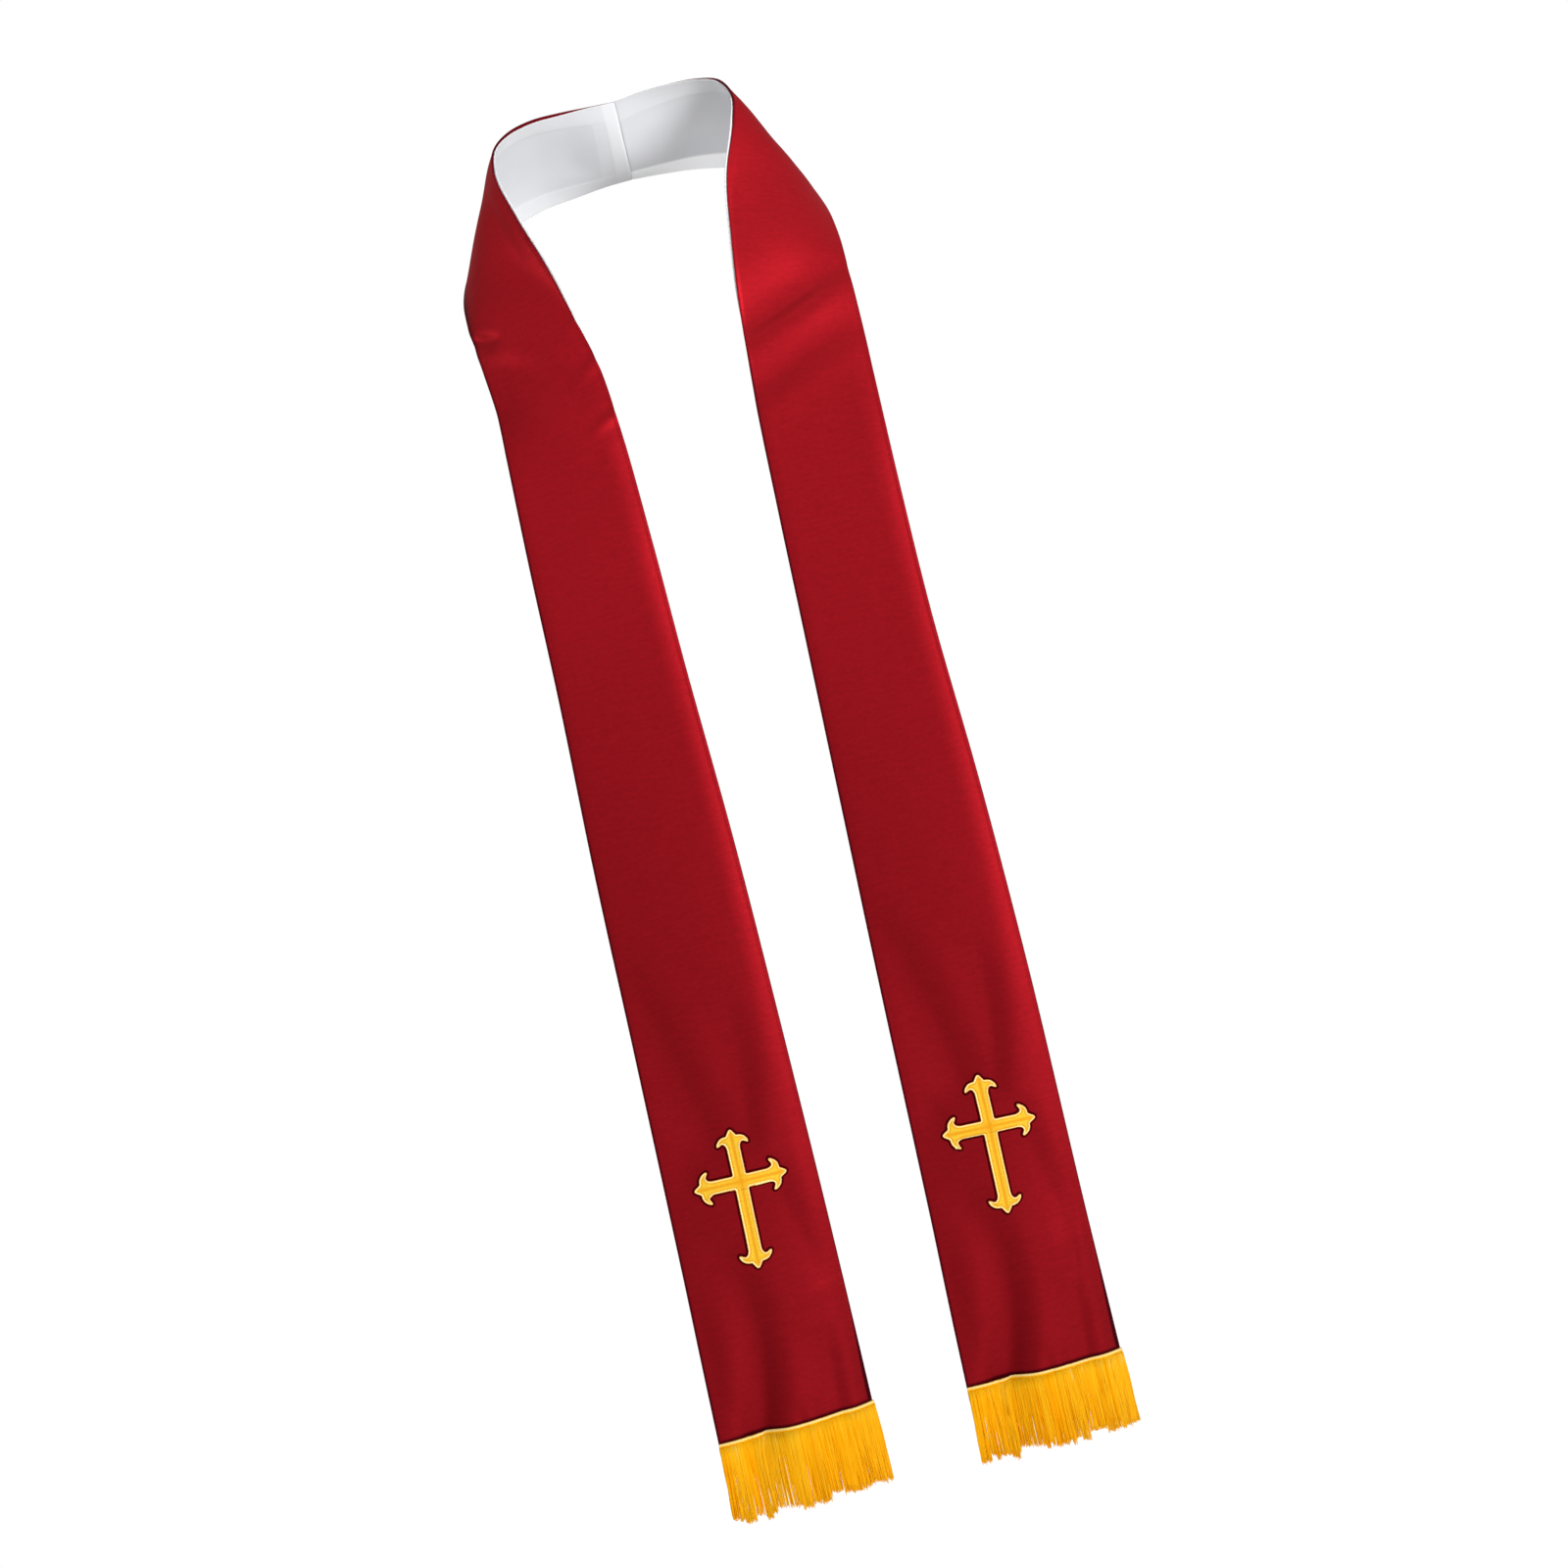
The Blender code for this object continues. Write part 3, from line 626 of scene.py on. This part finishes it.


# White lining, two halves: thin matt cloth slip-stitched inside the face's edges. The
# turned-under edges of the face and the back seam's pressed allowance show through it
# as paler, slightly raised bands, and it rolls a hair past the face along the neck.
# Behind the neck, light and shade are also painted into how pale the bands are.

LINING_WALL = 1.0
ALLOWANCE_RISE = 0.35
# Stretches over which these end: the face's turned-under edge, and the back seam's pressed
# allowance and the interlining, both to the left of it.
ALLOWANCE_END, SEAM_END, BACKING_END = (13.5, 15.5), (11.8, 14.2), (23.5, 26.5)

# Distance along, and how far the lining stops inside the face's neck edge there on the left
# half and on the right one; below zero it shows past it.
LINING_EDGES = np.array([
    (0, 0.3, 0.3), (25, 0.3, -0.2), (50, 1.7, -0.7), (75, 2.1, -0.5), (92, 2.1, 0.2),
    (108, 1.4, 1.4), (120, 0.4, 0.4), (140, -1.1, -0.9), (200, -1.2, -1.2),
    (300, -1.0, -1.1), (345, 0.6, 0.8), (400, 1.5, 1.5), (1240, 1.5, 1.5)])
OUTER_EDGE = 0.2  # round the neck
OUTER_EDGE_HANGING = 1.5  # on the hanging ends
HANGING_FROM = (120, 220)

LINING_COLUMNS = np.array(
    [0.0, 0.18, 0.5, 1.2, 2.5, 5.0, 8.0, 11.0, 12.4, 13.4, 14.4, 15.4, 16.4, 18.0])
LINING_ROUNDING = np.array([0.42, 0.18, 0.04, 0.0])  # at the first four columns
LINING_MIDDLE = 14
LINING_ROWS = np.r_[np.arange(0, 34), np.linspace(34, 460, 143), np.linspace(466, CLOTH_END, 130)]
BAND_PALENESS = 0.3
# painted light and shade behind the neck, in the bands' paleness: the right half's outer band is
# paler where it lies in shadow, and the left half's outer band and both inner bands are less pale
# where the light is strong
NECK_TO_END = (110, 200)  # stretch over which the paleness behind the neck ends
OUTER_LIGHT_AND_SHADE_BY_NECK = {"left": -0.2, "right": 0.28}
INNER_SHADE_BY_NECK = -0.22
SEAM_PALENESS, BACKING_PALENESS, BACKING_RISE = 0.16, 0.06, 0.35
BACK_SEAM_DIP, BACK_SEAM_WIDTH = 0.35, 0.9

white_lining, tree, shader, cloth_map = new_finish(
    "white_lining", {"Roughness": 0.85, "Specular IOR Level": 0.25, "Sheen Weight": 0.05,
                     "Sheen Roughness": 0.5})
weave = stretched_noise(tree, cloth_map, (700, 900))
soft = stretched_noise(tree, cloth_map, (22, 14))
shade = ramp(tree, soft, [(0.3, (0.415, 0.417, 0.435)), (0.7, (0.445, 0.447, 0.461))])
# the pale tone is partly the bands that show through and partly painted light and shade behind the
# neck
colour = mixed(tree, "MIX", read_tone(tree, "pale"), shade, (0.86, 0.86, 0.86, 1.0))
lead_in(tree, shader, {"Base Color": colour, "Normal": bump(tree, weave, 0.2, 0.0003)})

for half in HALVES:
    along = LINING_ROWS[:, None]
    width = band_width(half, along)
    insets = smooth_curve(LINING_EDGES[:, 0], LINING_EDGES[:, 1:], LINING_ROWS)
    neck_inset = insets[:, :1] if half.side < 0 else insets[:, 1:]
    hanging = smooth_step(along, *HANGING_FROM)
    outer_inset = OUTER_EDGE + (OUTER_EDGE_HANGING - OUTER_EDGE) * hanging
    distance = neck_inset + columns_across(width - neck_inset - outer_inset,
                                           LINING_COLUMNS, LINING_MIDDLE)

    from_edge = np.minimum(distance, width - distance)
    band = 1 - smooth_step(from_edge, *ALLOWANCE_END)
    by_neck = 1 - smooth_step(along, *NECK_TO_END)
    # band paleness, with painted light and shade near the neck
    outer_paleness = BAND_PALENESS + OUTER_LIGHT_AND_SHADE_BY_NECK[half.name] * by_neck
    inner_paleness = BAND_PALENESS + INNER_SHADE_BY_NECK * by_neck
    paleness = band * np.where(distance > width / 2, outer_paleness, inner_paleness)
    if half.side < 0:
        seam_band = 1 - smooth_step(along, *SEAM_END)
        backing = 1 - smooth_step(along, *BACKING_END)
        paleness = np.maximum(paleness, np.maximum(SEAM_PALENESS * seam_band,
                                                   BACKING_PALENESS * backing))
        band = np.maximum(band, np.maximum(seam_band, BACKING_RISE * backing))
    rounding = np.interp(np.minimum(distance - neck_inset, width - outer_inset - distance),
                         LINING_COLUMNS[:4], LINING_ROUNDING)
    seam = BACK_SEAM_DIP * np.exp(-(along / BACK_SEAM_WIDTH) ** 2)
    near_face = -GAP - rounding - seam / 2
    near_wearer = -GAP - LINING_WALL - ALLOWANCE_RISE * band + rounding + seam
    lining, _ = cloth_shell("white_lining_" + half.name, half, LINING_ROWS, distance,
                            (near_face, near_wearer), white_lining)
    keep_tone(lining, "pale", np.hstack([paleness, paleness[:, ::-1]]))
    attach(lining, "root")
    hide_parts("lining_" + half.name)


# Crosses, one on each hanging end: thick machine-embroidered applique. Two columns of
# gold satin stitch meet in a groove along each arm, and a paler raised cord of stitches
# runs round the whole outline.

# where the arms cross, along the band and as a share of the width from the left, and how
# far the cross is turned to the right, in degrees
CROSS_PLACE = {"left": (1020.2, 0.497, 1.3), "right": (1024.1, 0.5, 0.6)}
CROSS_ARMS = (43.0, 38.5, 72.0, 38.5)  # upper, right, lower and left, from the crossing
ARM_HALF_WIDTH = 5.7
BUD_LENGTH = 15.8  # from an arm's tip to where its straight part starts
CORD_WIDTH = 1.9
CORD_HEIGHT = 1.5
STITCH_HEIGHT, STITCH_EDGE_SHARE = 1.15, 0.45  # full height, and its share at the edge
STITCH_ROUNDING = 1.7
GROOVE, GROOVE_WIDTH, GROOVE_START = 0.4, 1.5, (1.5, 3.5)
# painted shade in the satin: how much deeper its gold is in the groove, beside the cord and at the
# crossing
SHADE_IN_GROOVE, SHADE_BY_CORD, SHADE_AT_CROSSING = 0.78, 0.7, 0.95
BY_CORD, BY_CORD_WIDTH, CROSSING_WIDTH = 2.3, 0.6, 6.5
STITCH_CELL = 0.45
GRID_X, GRID_Y = (-39.2, 39.3), (-72.5, 43.6)  # stretches that the stitches' grid covers
STITCH_INSET = 0.35  # the cord covers the edge of the stitching
GOLD_SHINE = (1.0, 0.62, 0.12, 1.0)

# One side of an arm's end in three smooth lines, each through places given by how far they
# are from the arm's tip and from its centre line.
BUD_LINES = [np.array(line) for line in (
    [(0.0, 0.0), (0.3, 0.9), (1.7, 2.2), (3.3, 3.2), (5.2, 4.4)],
    [(5.2, 4.4), (5.4, 6.6), (6.3, 9.2), (8.5, 11.7), (11.3, 13.3), (13.0, 13.4), (13.6, 12.3)],
    [(13.6, 12.3), (13.0, 10.7), (12.1, 9.2), (11.9, 7.9), (12.9, 6.7),
     (BUD_LENGTH, ARM_HALF_WIDTH)])]
OUTLINE_STEP = 0.5


def along_line(line, step):
    """Places every step along a smooth curve through a line's points, without its last."""
    run = np.concatenate([[0.0], np.cumsum(np.linalg.norm(np.diff(line, axis=0), axis=1))])
    count = max(int(run[-1] / step), 2)
    return smooth_curve(run, line, np.linspace(0, run[-1], count, endpoint=False))


def cross_outline():
    """The outline as (x, y), clockwise from the upper tip. Each arm's two sides are the bud
    lines and the straight arm down to its inner corner, one mirrored and run backwards."""
    side = np.vstack([along_line(line, OUTLINE_STEP) for line in BUD_LINES])
    points = []
    for quarter, length in enumerate(CROSS_ARMS):
        straight = np.array([(BUD_LENGTH, ARM_HALF_WIDTH),
                             (length - ARM_HALF_WIDTH, ARM_HALF_WIDTH)])
        half_arm = np.vstack([side, along_line(straight, OUTLINE_STEP), straight[-1:]])
        right = np.stack([half_arm[:, 1], length - half_arm[:, 0]], axis=1)
        left = np.stack([-right[:, 0], right[:, 1]], axis=1)[::-1]
        arm = np.vstack([left[1:], right[1:-1]])
        turn = np.radians(-90 * quarter)
        points.append(arm @ np.array([[np.cos(turn), np.sin(turn)],
                                      [-np.sin(turn), np.cos(turn)]]))
    return np.vstack(points)


outline = cross_outline()
following = np.roll(outline, -1, axis=0)
tangent = unit(following - np.roll(outline, 1, axis=0))
inward = np.stack([tangent[:, 1], -tangent[:, 0]], axis=1)
for _ in range(3):
    inward = unit(np.roll(inward, 1, axis=0) + inward + np.roll(inward, -1, axis=0))

# a square grid of stitches over the whole cross, of which those inside the outline are kept
grid_x, grid_y = np.meshgrid(np.arange(*GRID_X, STITCH_CELL), np.arange(*GRID_Y, STITCH_CELL))
grid = np.stack([grid_x.ravel(), grid_y.ravel()], axis=1)
run = following - outline
gap_x = grid[:, 0, None] - outline[:, 0]
gap_y = grid[:, 1, None] - outline[:, 1]
share = np.clip((gap_x * run[:, 0] + gap_y * run[:, 1]) / (run**2).sum(axis=1), 0, 1)
from_edge = np.hypot(gap_x - share * run[:, 0], gap_y - share * run[:, 1]).min(axis=1)
spans = (outline[:, 1] > grid[:, 1, None]) != (following[:, 1] > grid[:, 1, None])
rise = np.where(run[:, 1] == 0, 1.0, run[:, 1])
hit = outline[:, 0] + gap_y / rise * run[:, 0]
inside = (spans & (hit > grid[:, 0, None])).sum(axis=1) % 2 == 1

keep = (inside & (from_edge > STITCH_INSET)).reshape(grid_x.shape)
cell = keep[:-1, :-1] & keep[1:, :-1] & keep[:-1, 1:] & keep[1:, 1:]
row, column = np.nonzero(cell)
wide = grid_x.shape[1]
corners = np.stack([row * wide + column, row * wide + column + 1,
                    (row + 1) * wide + column + 1, (row + 1) * wide + column], axis=1)
used, packed = np.unique(corners, return_inverse=True)
corners = packed.reshape(corners.shape)
body = grid[used]
edge_distance = from_edge[used]
from_centre_line = np.abs(body).min(axis=1)
swelling = 1 - np.exp(-(edge_distance / STITCH_ROUNDING) ** 2)
groove = np.exp(-(from_centre_line / GROOVE_WIDTH) ** 2) * smooth_step(edge_distance, *GROOVE_START)
height = (STITCH_HEIGHT * (STITCH_EDGE_SHARE + (1 - STITCH_EDGE_SHARE) * swelling)
          - GROOVE * groove)

gold_thread, tree, shader, cloth_map = new_finish(
    "gold_thread", {"Roughness": 0.45, "Specular IOR Level": 0.3, "Specular Tint": GOLD_SHINE})
stitches = stretched_noise(tree, cloth_map, (120, 2600))
satin = ramp(tree, stitches, [(0.3, (0.89, 0.475, 0.014)), (0.7, (1.0, 0.72, 0.068))])
# painted shade: the deep tone turns the satin deep orange in the groove, beside the cord and at the
# crossing
colour = mixed(tree, "MIX", read_tone(tree, "deep"), satin, (0.86, 0.3, 0.002, 1.0))
lead_in(tree, shader, {"Base Color": colour, "Normal": bump(tree, stitches, 0.6, 0.0005)})

gold_cord, tree, shader, cloth_map = new_finish(
    "gold_cord", {"Roughness": 0.5, "Specular IOR Level": 0.3, "Specular Tint": GOLD_SHINE})
ribs = stretched_noise(tree, cloth_map, (60, 1600))
map_axes = add_node(tree, "ShaderNodeSeparateXYZ", {0: cloth_map})
from_outside = add_node(tree, "ShaderNodeMapRange", {"Value": map_axes.outputs["X"],
                                                     "From Max": CORD_WIDTH * MM})
# painted shadow: the cord's outer flank darkens to dark red, running on into the dark line round
# the outline
rim_shadow = ramp(tree, from_outside.outputs[0],
           [(0.12, (0.22, 0.015, 0.01)), (0.28, (0.9, 0.34, 0.05)), (0.45, 1.0)])
colour = ramp(tree, ribs, [(0.3, (1.0, 0.82, 0.24)), (0.7, (1.0, 0.93, 0.46))])
lead_in(tree, shader, {"Base Color": mixed(tree, "MULTIPLY", 1.0, colour, rim_shadow),
                       "Normal": bump(tree, ribs, 0.7, 0.0006)})

# painted shadow: a dark red thread round the outline, put where the applique's shadow falls on the
# cloth
shadow_line_thread, tree, shader, cloth_map = new_finish(
    "shadow_line_thread", {"Roughness": 0.9, "Specular IOR Level": 0.0})
knots = stretched_noise(tree, cloth_map, (400, 900), detail=1.0)
colour = ramp(tree, knots, [(0.3, (0.045, 0.0005, 0.002)), (0.7, (0.085, 0.001, 0.005))])
lead_in(tree, shader, {"Base Color": colour})

# Sections of the raised cord and of the dark line round it, from outside the outline
# inwards and back underneath: distance inside the outline, and height over the cloth.
# The dark line is a thread that stands in for the applique's shadow on the cloth.
turn = np.linspace(0, 2 * np.pi, 10, endpoint=False)
CORD_ASIDE = CORD_WIDTH / 2 * (1 - np.cos(turn))
CORD_RISE = GAP + np.where(np.sin(turn) > 1e-6, CORD_HEIGHT * np.abs(np.sin(turn)) ** 0.8, 0.02)
SHADOW_LINE_ASIDE = np.array([-1.45, -1.05, -0.45, 0.2, 0.45, 0.1, -0.45, -1.05])
SHADOW_LINE_RISE = np.array([0.06, 0.4, 0.7, 1.0, 0.06, 0.02, 0.02, 0.02])


def on_panel(half, flat, lift):
    """A flat drawing's points (x to the right, y up) laid on a hanging end and lifted."""
    along, share, turned = CROSS_PLACE[half.name]
    cosine, sine = np.cos(radians(turned)), np.sin(radians(turned))
    right = flat[..., 0] * cosine + flat[..., 1] * sine
    up = flat[..., 1] * cosine - flat[..., 0] * sine
    share = share + right / float(band_width(half, along))
    return lifted(half, along - up, share if half.side > 0 else 1 - share, FACE_WALL + lift)


def round_outline(name, half, aside, rise, material):
    """A closed tube: its section carried along the outline and closed on itself."""
    flat = outline[:, None, :] + inward[:, None, :] * aside[None, :, None]
    points = on_panel(half, flat, np.broadcast_to(rise, flat.shape[:2]))
    rows, sides = flat.shape[:2]
    faces = ring_faces(rows, sides) % (rows * sides)
    places = on_cloth(aside, np.arange(rows)[:, None] * OUTLINE_STEP)
    return make_piece(name, points, faces, places, material)


# The satin's two sides and its walls, then the places of its stitches, which run across
# the arm they lie on, and the painted shade that deepens the gold: in the groove, by the
# cord, at the crossing.
count = len(body)
sides = np.concatenate([corners[:, [k, (k + 1) % 4]] for k in range(4)])
edge_codes = np.sort(sides, axis=1) @ np.array([count, 1])
_, index, times = np.unique(edge_codes, return_index=True, return_counts=True)
a, b = sides[index[times == 1]].T
walls = np.stack([b, a, a + count, b + count], axis=1)
cross_faces = np.vstack([corners, corners[:, ::-1] + count, walls])
stitched = np.where(np.abs(body[:, :1]) < np.abs(body[:, 1:]), body, body[:, ::-1])
cross_places = np.abs(np.vstack([stitched, stitched]))
beside_cord = SHADE_BY_CORD * np.exp(-((edge_distance - BY_CORD) / BY_CORD_WIDTH) ** 2)
crossing = SHADE_AT_CROSSING * np.exp(-np.hypot(*body.T) / CROSSING_WIDTH)
deep = np.maximum.reduce([SHADE_IN_GROOVE * groove, beside_cord, crossing])

for half in HALVES:
    points = np.vstack([on_panel(half, body, GAP + height),
                        on_panel(half, body, np.full(count, GAP))])
    cross = make_piece("gold_cross_" + half.name, points, cross_faces, cross_places, gold_thread)
    keep_tone(cross, "deep", np.r_[deep, deep])
    cord = round_outline("cross_border_" + half.name, half, CORD_ASIDE, CORD_RISE, gold_cord)
    # the dark line round the outline, standing in for the applique's shadow
    shadow_line = round_outline("cross_shadow_line_" + half.name, half, SHADOW_LINE_ASIDE, SHADOW_LINE_RISE,
                            shadow_line_thread)
    for piece, slot in ((cross, "gold_thread"), (cord, "gold_thread"), (shadow_line, "red_cloth")):
        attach(piece, "root")
        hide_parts("cross_" + half.name)


# Fringes, one on each hem: silky gold threads that hang from a woven heading. The
# heading is sewn on over the hem, and a paler bead runs along its top. The threads
# hang in uneven clumps and are cut by hand, so their ends don't line up.

# Section of the heading: distance below its top, rise of its front, and rise of its back,
# which is even apart from its two ends.
HEADING_END = 1239.5
HEADING_DROP = np.array([0.0, -0.35, 0.0, 0.6, 1.3, 1.9, 2.6, 4.0, 5.5, 7.0, 8.5, 10.0, 11.5,
                         12.8, 13.8])
HEADING_RISE = np.array([1.7, 2.4, 3.05, 3.35, 3.1, 2.72, 2.62, 2.78, 2.66, 2.8, 2.68, 2.8,
                         2.66, 2.7, 2.45])
HEADING_BACK = np.array([1.55] + [1.5] * 13 + [1.7])
HEADING_ROWS = 180
BEAD_MIDDLE, BEAD_WIDTH, BEAD_PALENESS, BEAD_ABOVE = 0.6, 1.3, 0.55, 2.3
WOVEN_ROW, WOVEN_CONTRAST = 3.4, 0.06
BRIDGING = 0.2  # share of the hem's hollows that the heading spans
STRAIGHTENING = 0.6  # share that the threads' tips span besides
THREADS, THREAD_SIDES, THREAD_LEVELS = 900, 6, 9
THREAD_WIDTH, THREAD_LENGTH, THREAD_TAPER = 0.85, 49.5, 0.35
THREAD_TOP = (2.6, 4.2)  # where they start below the heading's top
THREAD_ROOM = 0.004  # what is left free at the hem's two ends
THREAD_LIFT, THREAD_SINK, THREAD_DEPTH = 3.0, 0.85, 0.9  # at the root, to the tip, spread
UNEVEN_CLUMPS, UNEVEN_THREADS, SWAY, LEAN = 1.9, 1.0, 0.35, 0.3
CLUMPS, CLUMP_PULL = 27, (0.02, 0.1)
LEFT_CLUMPS, LEFT_PULL = 0.22, 0.1  # those at the left edge are pulled together more
FLARE = 2.6  # how far the outermost threads spread sideways
THREAD_TONE, TONE_RANGE = 0.3, (-0.2, 0.5)  # 0 is deep orange, 1 the bead's pale yellow
# painted shade: the tone per millimetre of depth makes threads that hang further back darker and
# those further forward paler
CLUMP_TONES, THREAD_TONES, DEPTH_SHADE_TONE, ROOT_TONE = 0.08, 0.11, 0.1, 0.12

gold_fringe, tree, shader, cloth_map = new_finish(
    "gold_fringe", {"Roughness": 0.45, "Specular IOR Level": 0.25, "Specular Tint": GOLD_SHINE})
twist = stretched_noise(tree, cloth_map, (900, 500), detail=1.0)
strands = stretched_noise(tree, cloth_map, (1100, 45))
varied = add_node(tree, "ShaderNodeMath", {0: strands, 1: 0.5, 2: read_tone(tree, "tone")},
                  operation="MULTIPLY_ADD")
colour = ramp(tree, varied.outputs[0], [(0.0, (0.94, 0.29, 0.0)), (0.5, (1.0, 0.445, 0.0)),
                                        (0.86, (1.0, 0.55, 0.012)), (1.0, (1.0, 0.8, 0.32))])
lead_in(tree, shader, {"Base Color": colour, "Normal": bump(tree, twist, 0.4, 0.0004)})

chance = np.random.default_rng(7)

for half in HALVES:
    top = HEADING_TOP[half.name]
    width = float(band_width(half, CLOTH_END))

    # heading: an arch-topped strip with a round bead at its upper edge
    stations = np.linspace(0, 1, HEADING_ROWS)[:, None]
    drop = HEADING_DROP * (HEADING_END - top) / HEADING_DROP[-1]
    ring_along = top + np.r_[drop, drop[::-1]]
    ring_lift = np.r_[HEADING_RISE, HEADING_BACK]
    hollow = crease_depth(half, CLOTH_END, stations, width)
    heading_points = lifted(half, ring_along, stations, ring_lift + BRIDGING * hollow)
    heading_faces = tube_faces(HEADING_ROWS, len(ring_along), half.side)
    heading_places = on_cloth(stations * width, ring_along)
    bead = np.exp(-((ring_along - top - BEAD_MIDDLE) / BEAD_WIDTH) ** 2)
    bead = bead * (ring_lift > BEAD_ABOVE)
    woven_row = WOVEN_CONTRAST * np.cos((ring_along - top) * 2 * np.pi / WOVEN_ROW)
    heading_tone = THREAD_TONE + woven_row * (1 - bead) + BEAD_PALENESS * bead
    heading_tone = np.broadcast_to(heading_tone, heading_points.shape[:2]).ravel()

    # threads: clumps of uneven width draw their threads together towards the tips
    root = np.sort((np.arange(THREADS) + chance.uniform(-0.4, 0.4, THREADS)) / THREADS)
    root = np.clip(root, THREAD_ROOM, 1 - THREAD_ROOM)
    clump = np.searchsorted(np.sort(chance.uniform(0.02, 0.98, CLUMPS - 1)), root)
    centre = np.array([root[clump == k].mean() if (clump == k).any() else 0.5
                       for k in range(CLUMPS)])
    clump_length = chance.normal(0, UNEVEN_CLUMPS, CLUMPS)[clump]
    clump_tone = chance.normal(0, CLUMP_TONES, CLUMPS)[clump]
    seen = root if half.side > 0 else 1 - root
    pull = chance.uniform(*CLUMP_PULL, CLUMPS)[clump] + LEFT_PULL * (seen < LEFT_CLUMPS)
    length = THREAD_LENGTH + clump_length + chance.normal(0, UNEVEN_THREADS, THREADS)
    depth = chance.uniform(-THREAD_DEPTH, THREAD_DEPTH, THREADS)
    level = np.linspace(0, 1, THREAD_LEVELS)
    flare = FLARE * (2 * seen - 1) ** 3 * half.side
    sideways = ((centre[clump] - root) * width * pull + flare)[:, None] * level**1.5
    sideways = sideways + (chance.normal(0, SWAY, THREADS)[:, None]
                           * np.sin(level * 5 + chance.uniform(0, 6, THREADS)[:, None]))
    top_end = top + chance.uniform(*THREAD_TOP, THREADS)
    thread_tone = THREAD_TONE + clump_tone + chance.normal(0, THREAD_TONES, THREADS)
    # painted shade by depth: threads further back darker, those further forward paler
    thread_tone = np.clip(thread_tone + DEPTH_SHADE_TONE * depth, *TONE_RANGE)[:, None]
    thread_tone = thread_tone + ROOT_TONE * np.exp(-(level / 0.16) ** 2)

    hollow = crease_depth(half, CLOTH_END, root, width)
    lift = THREAD_LIFT - THREAD_SINK * level + (
        depth[:, None] * (0.3 + 0.95 * level) + LEAN * np.sin(level * 4 + 27 * root[:, None])
        + hollow[:, None] * (BRIDGING + STRAIGHTENING * level**0.6))
    line_along = top_end[:, None] + level * (CLOTH_END + length - top_end)[:, None]
    last_row = CLOTH_END - 1.0
    along_hem = unit(lifted(half, last_row, root + SLOPE_ACROSS, 2.1)
                     - lifted(half, last_row, root - SLOPE_ACROSS, 2.1))[:, None, None, :]
    facing = band_normal(half, last_row, root)[:, None, None, :]
    line = (lifted(half, line_along, root[:, None], lift)[:, :, None, :]
            + along_hem * sideways[..., None, None])
    radius = (THREAD_WIDTH / 2 * (1 - THREAD_TAPER * level**3))[None, :, None, None]
    turn = np.linspace(0, 2 * np.pi, THREAD_SIDES, endpoint=False)[None, None, :, None]
    rings = line + along_hem * (np.cos(turn) * radius) + facing * (np.sin(turn) * radius)

    first = np.arange(THREADS)[:, None, None] * THREAD_LEVELS * THREAD_SIDES
    sides = np.roll(ring_faces(THREAD_LEVELS - 1, THREAD_SIDES)[:, ::-1], 1, axis=1)
    cap = np.array([(0, 1, 2, 3), (0, 3, 4, 5)])
    tip_cap = cap[:, ::-1] + (THREAD_LEVELS - 1) * THREAD_SIDES
    thread_faces = np.vstack([(first + part).reshape(-1, 4) for part in (sides, cap, tip_cap)])
    thread_faces = thread_faces[:, ::half.side]
    thread_places = on_cloth((root * width)[:, None, None] + 0.3 * np.arange(THREAD_SIDES),
                             (level * THREAD_LENGTH)[:, None])

    fringe = make_piece(
        "gold_fringe_" + half.name,
        np.vstack([heading_points.reshape(-1, 3), rings.reshape(-1, 3)]),
        np.vstack([heading_faces, thread_faces + len(heading_tone)]),
        np.vstack([heading_places, thread_places]), gold_fringe)
    keep_tone(fringe, "tone", np.r_[heading_tone, np.repeat(thread_tone.ravel(), THREAD_SIDES)])
    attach(fringe, "root")
    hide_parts("fringe_" + half.name)


# The cloths as cut: each half of the face and of the lining is one shaped length, as
# wide at the hem as the stole, and narrower behind the neck. Here only each half's cut
# length, hem allowance included, is worked out, and its face, lining and sewn-on pieces
# are looked up.

HEM_ALLOWANCE = 10.0
SEWN_TOGETHER = ("red_face_", "white_lining_", "gold_cross_", "cross_border_",
                 "cross_shadow_line_", "gold_fringe_")

for half in HALVES:
    length = CLOTH_END + HEM_ALLOWANCE
    face, lining, *sewn_on = (bpy.data.objects[name + half.name] for name in SEWN_TOGETHER)
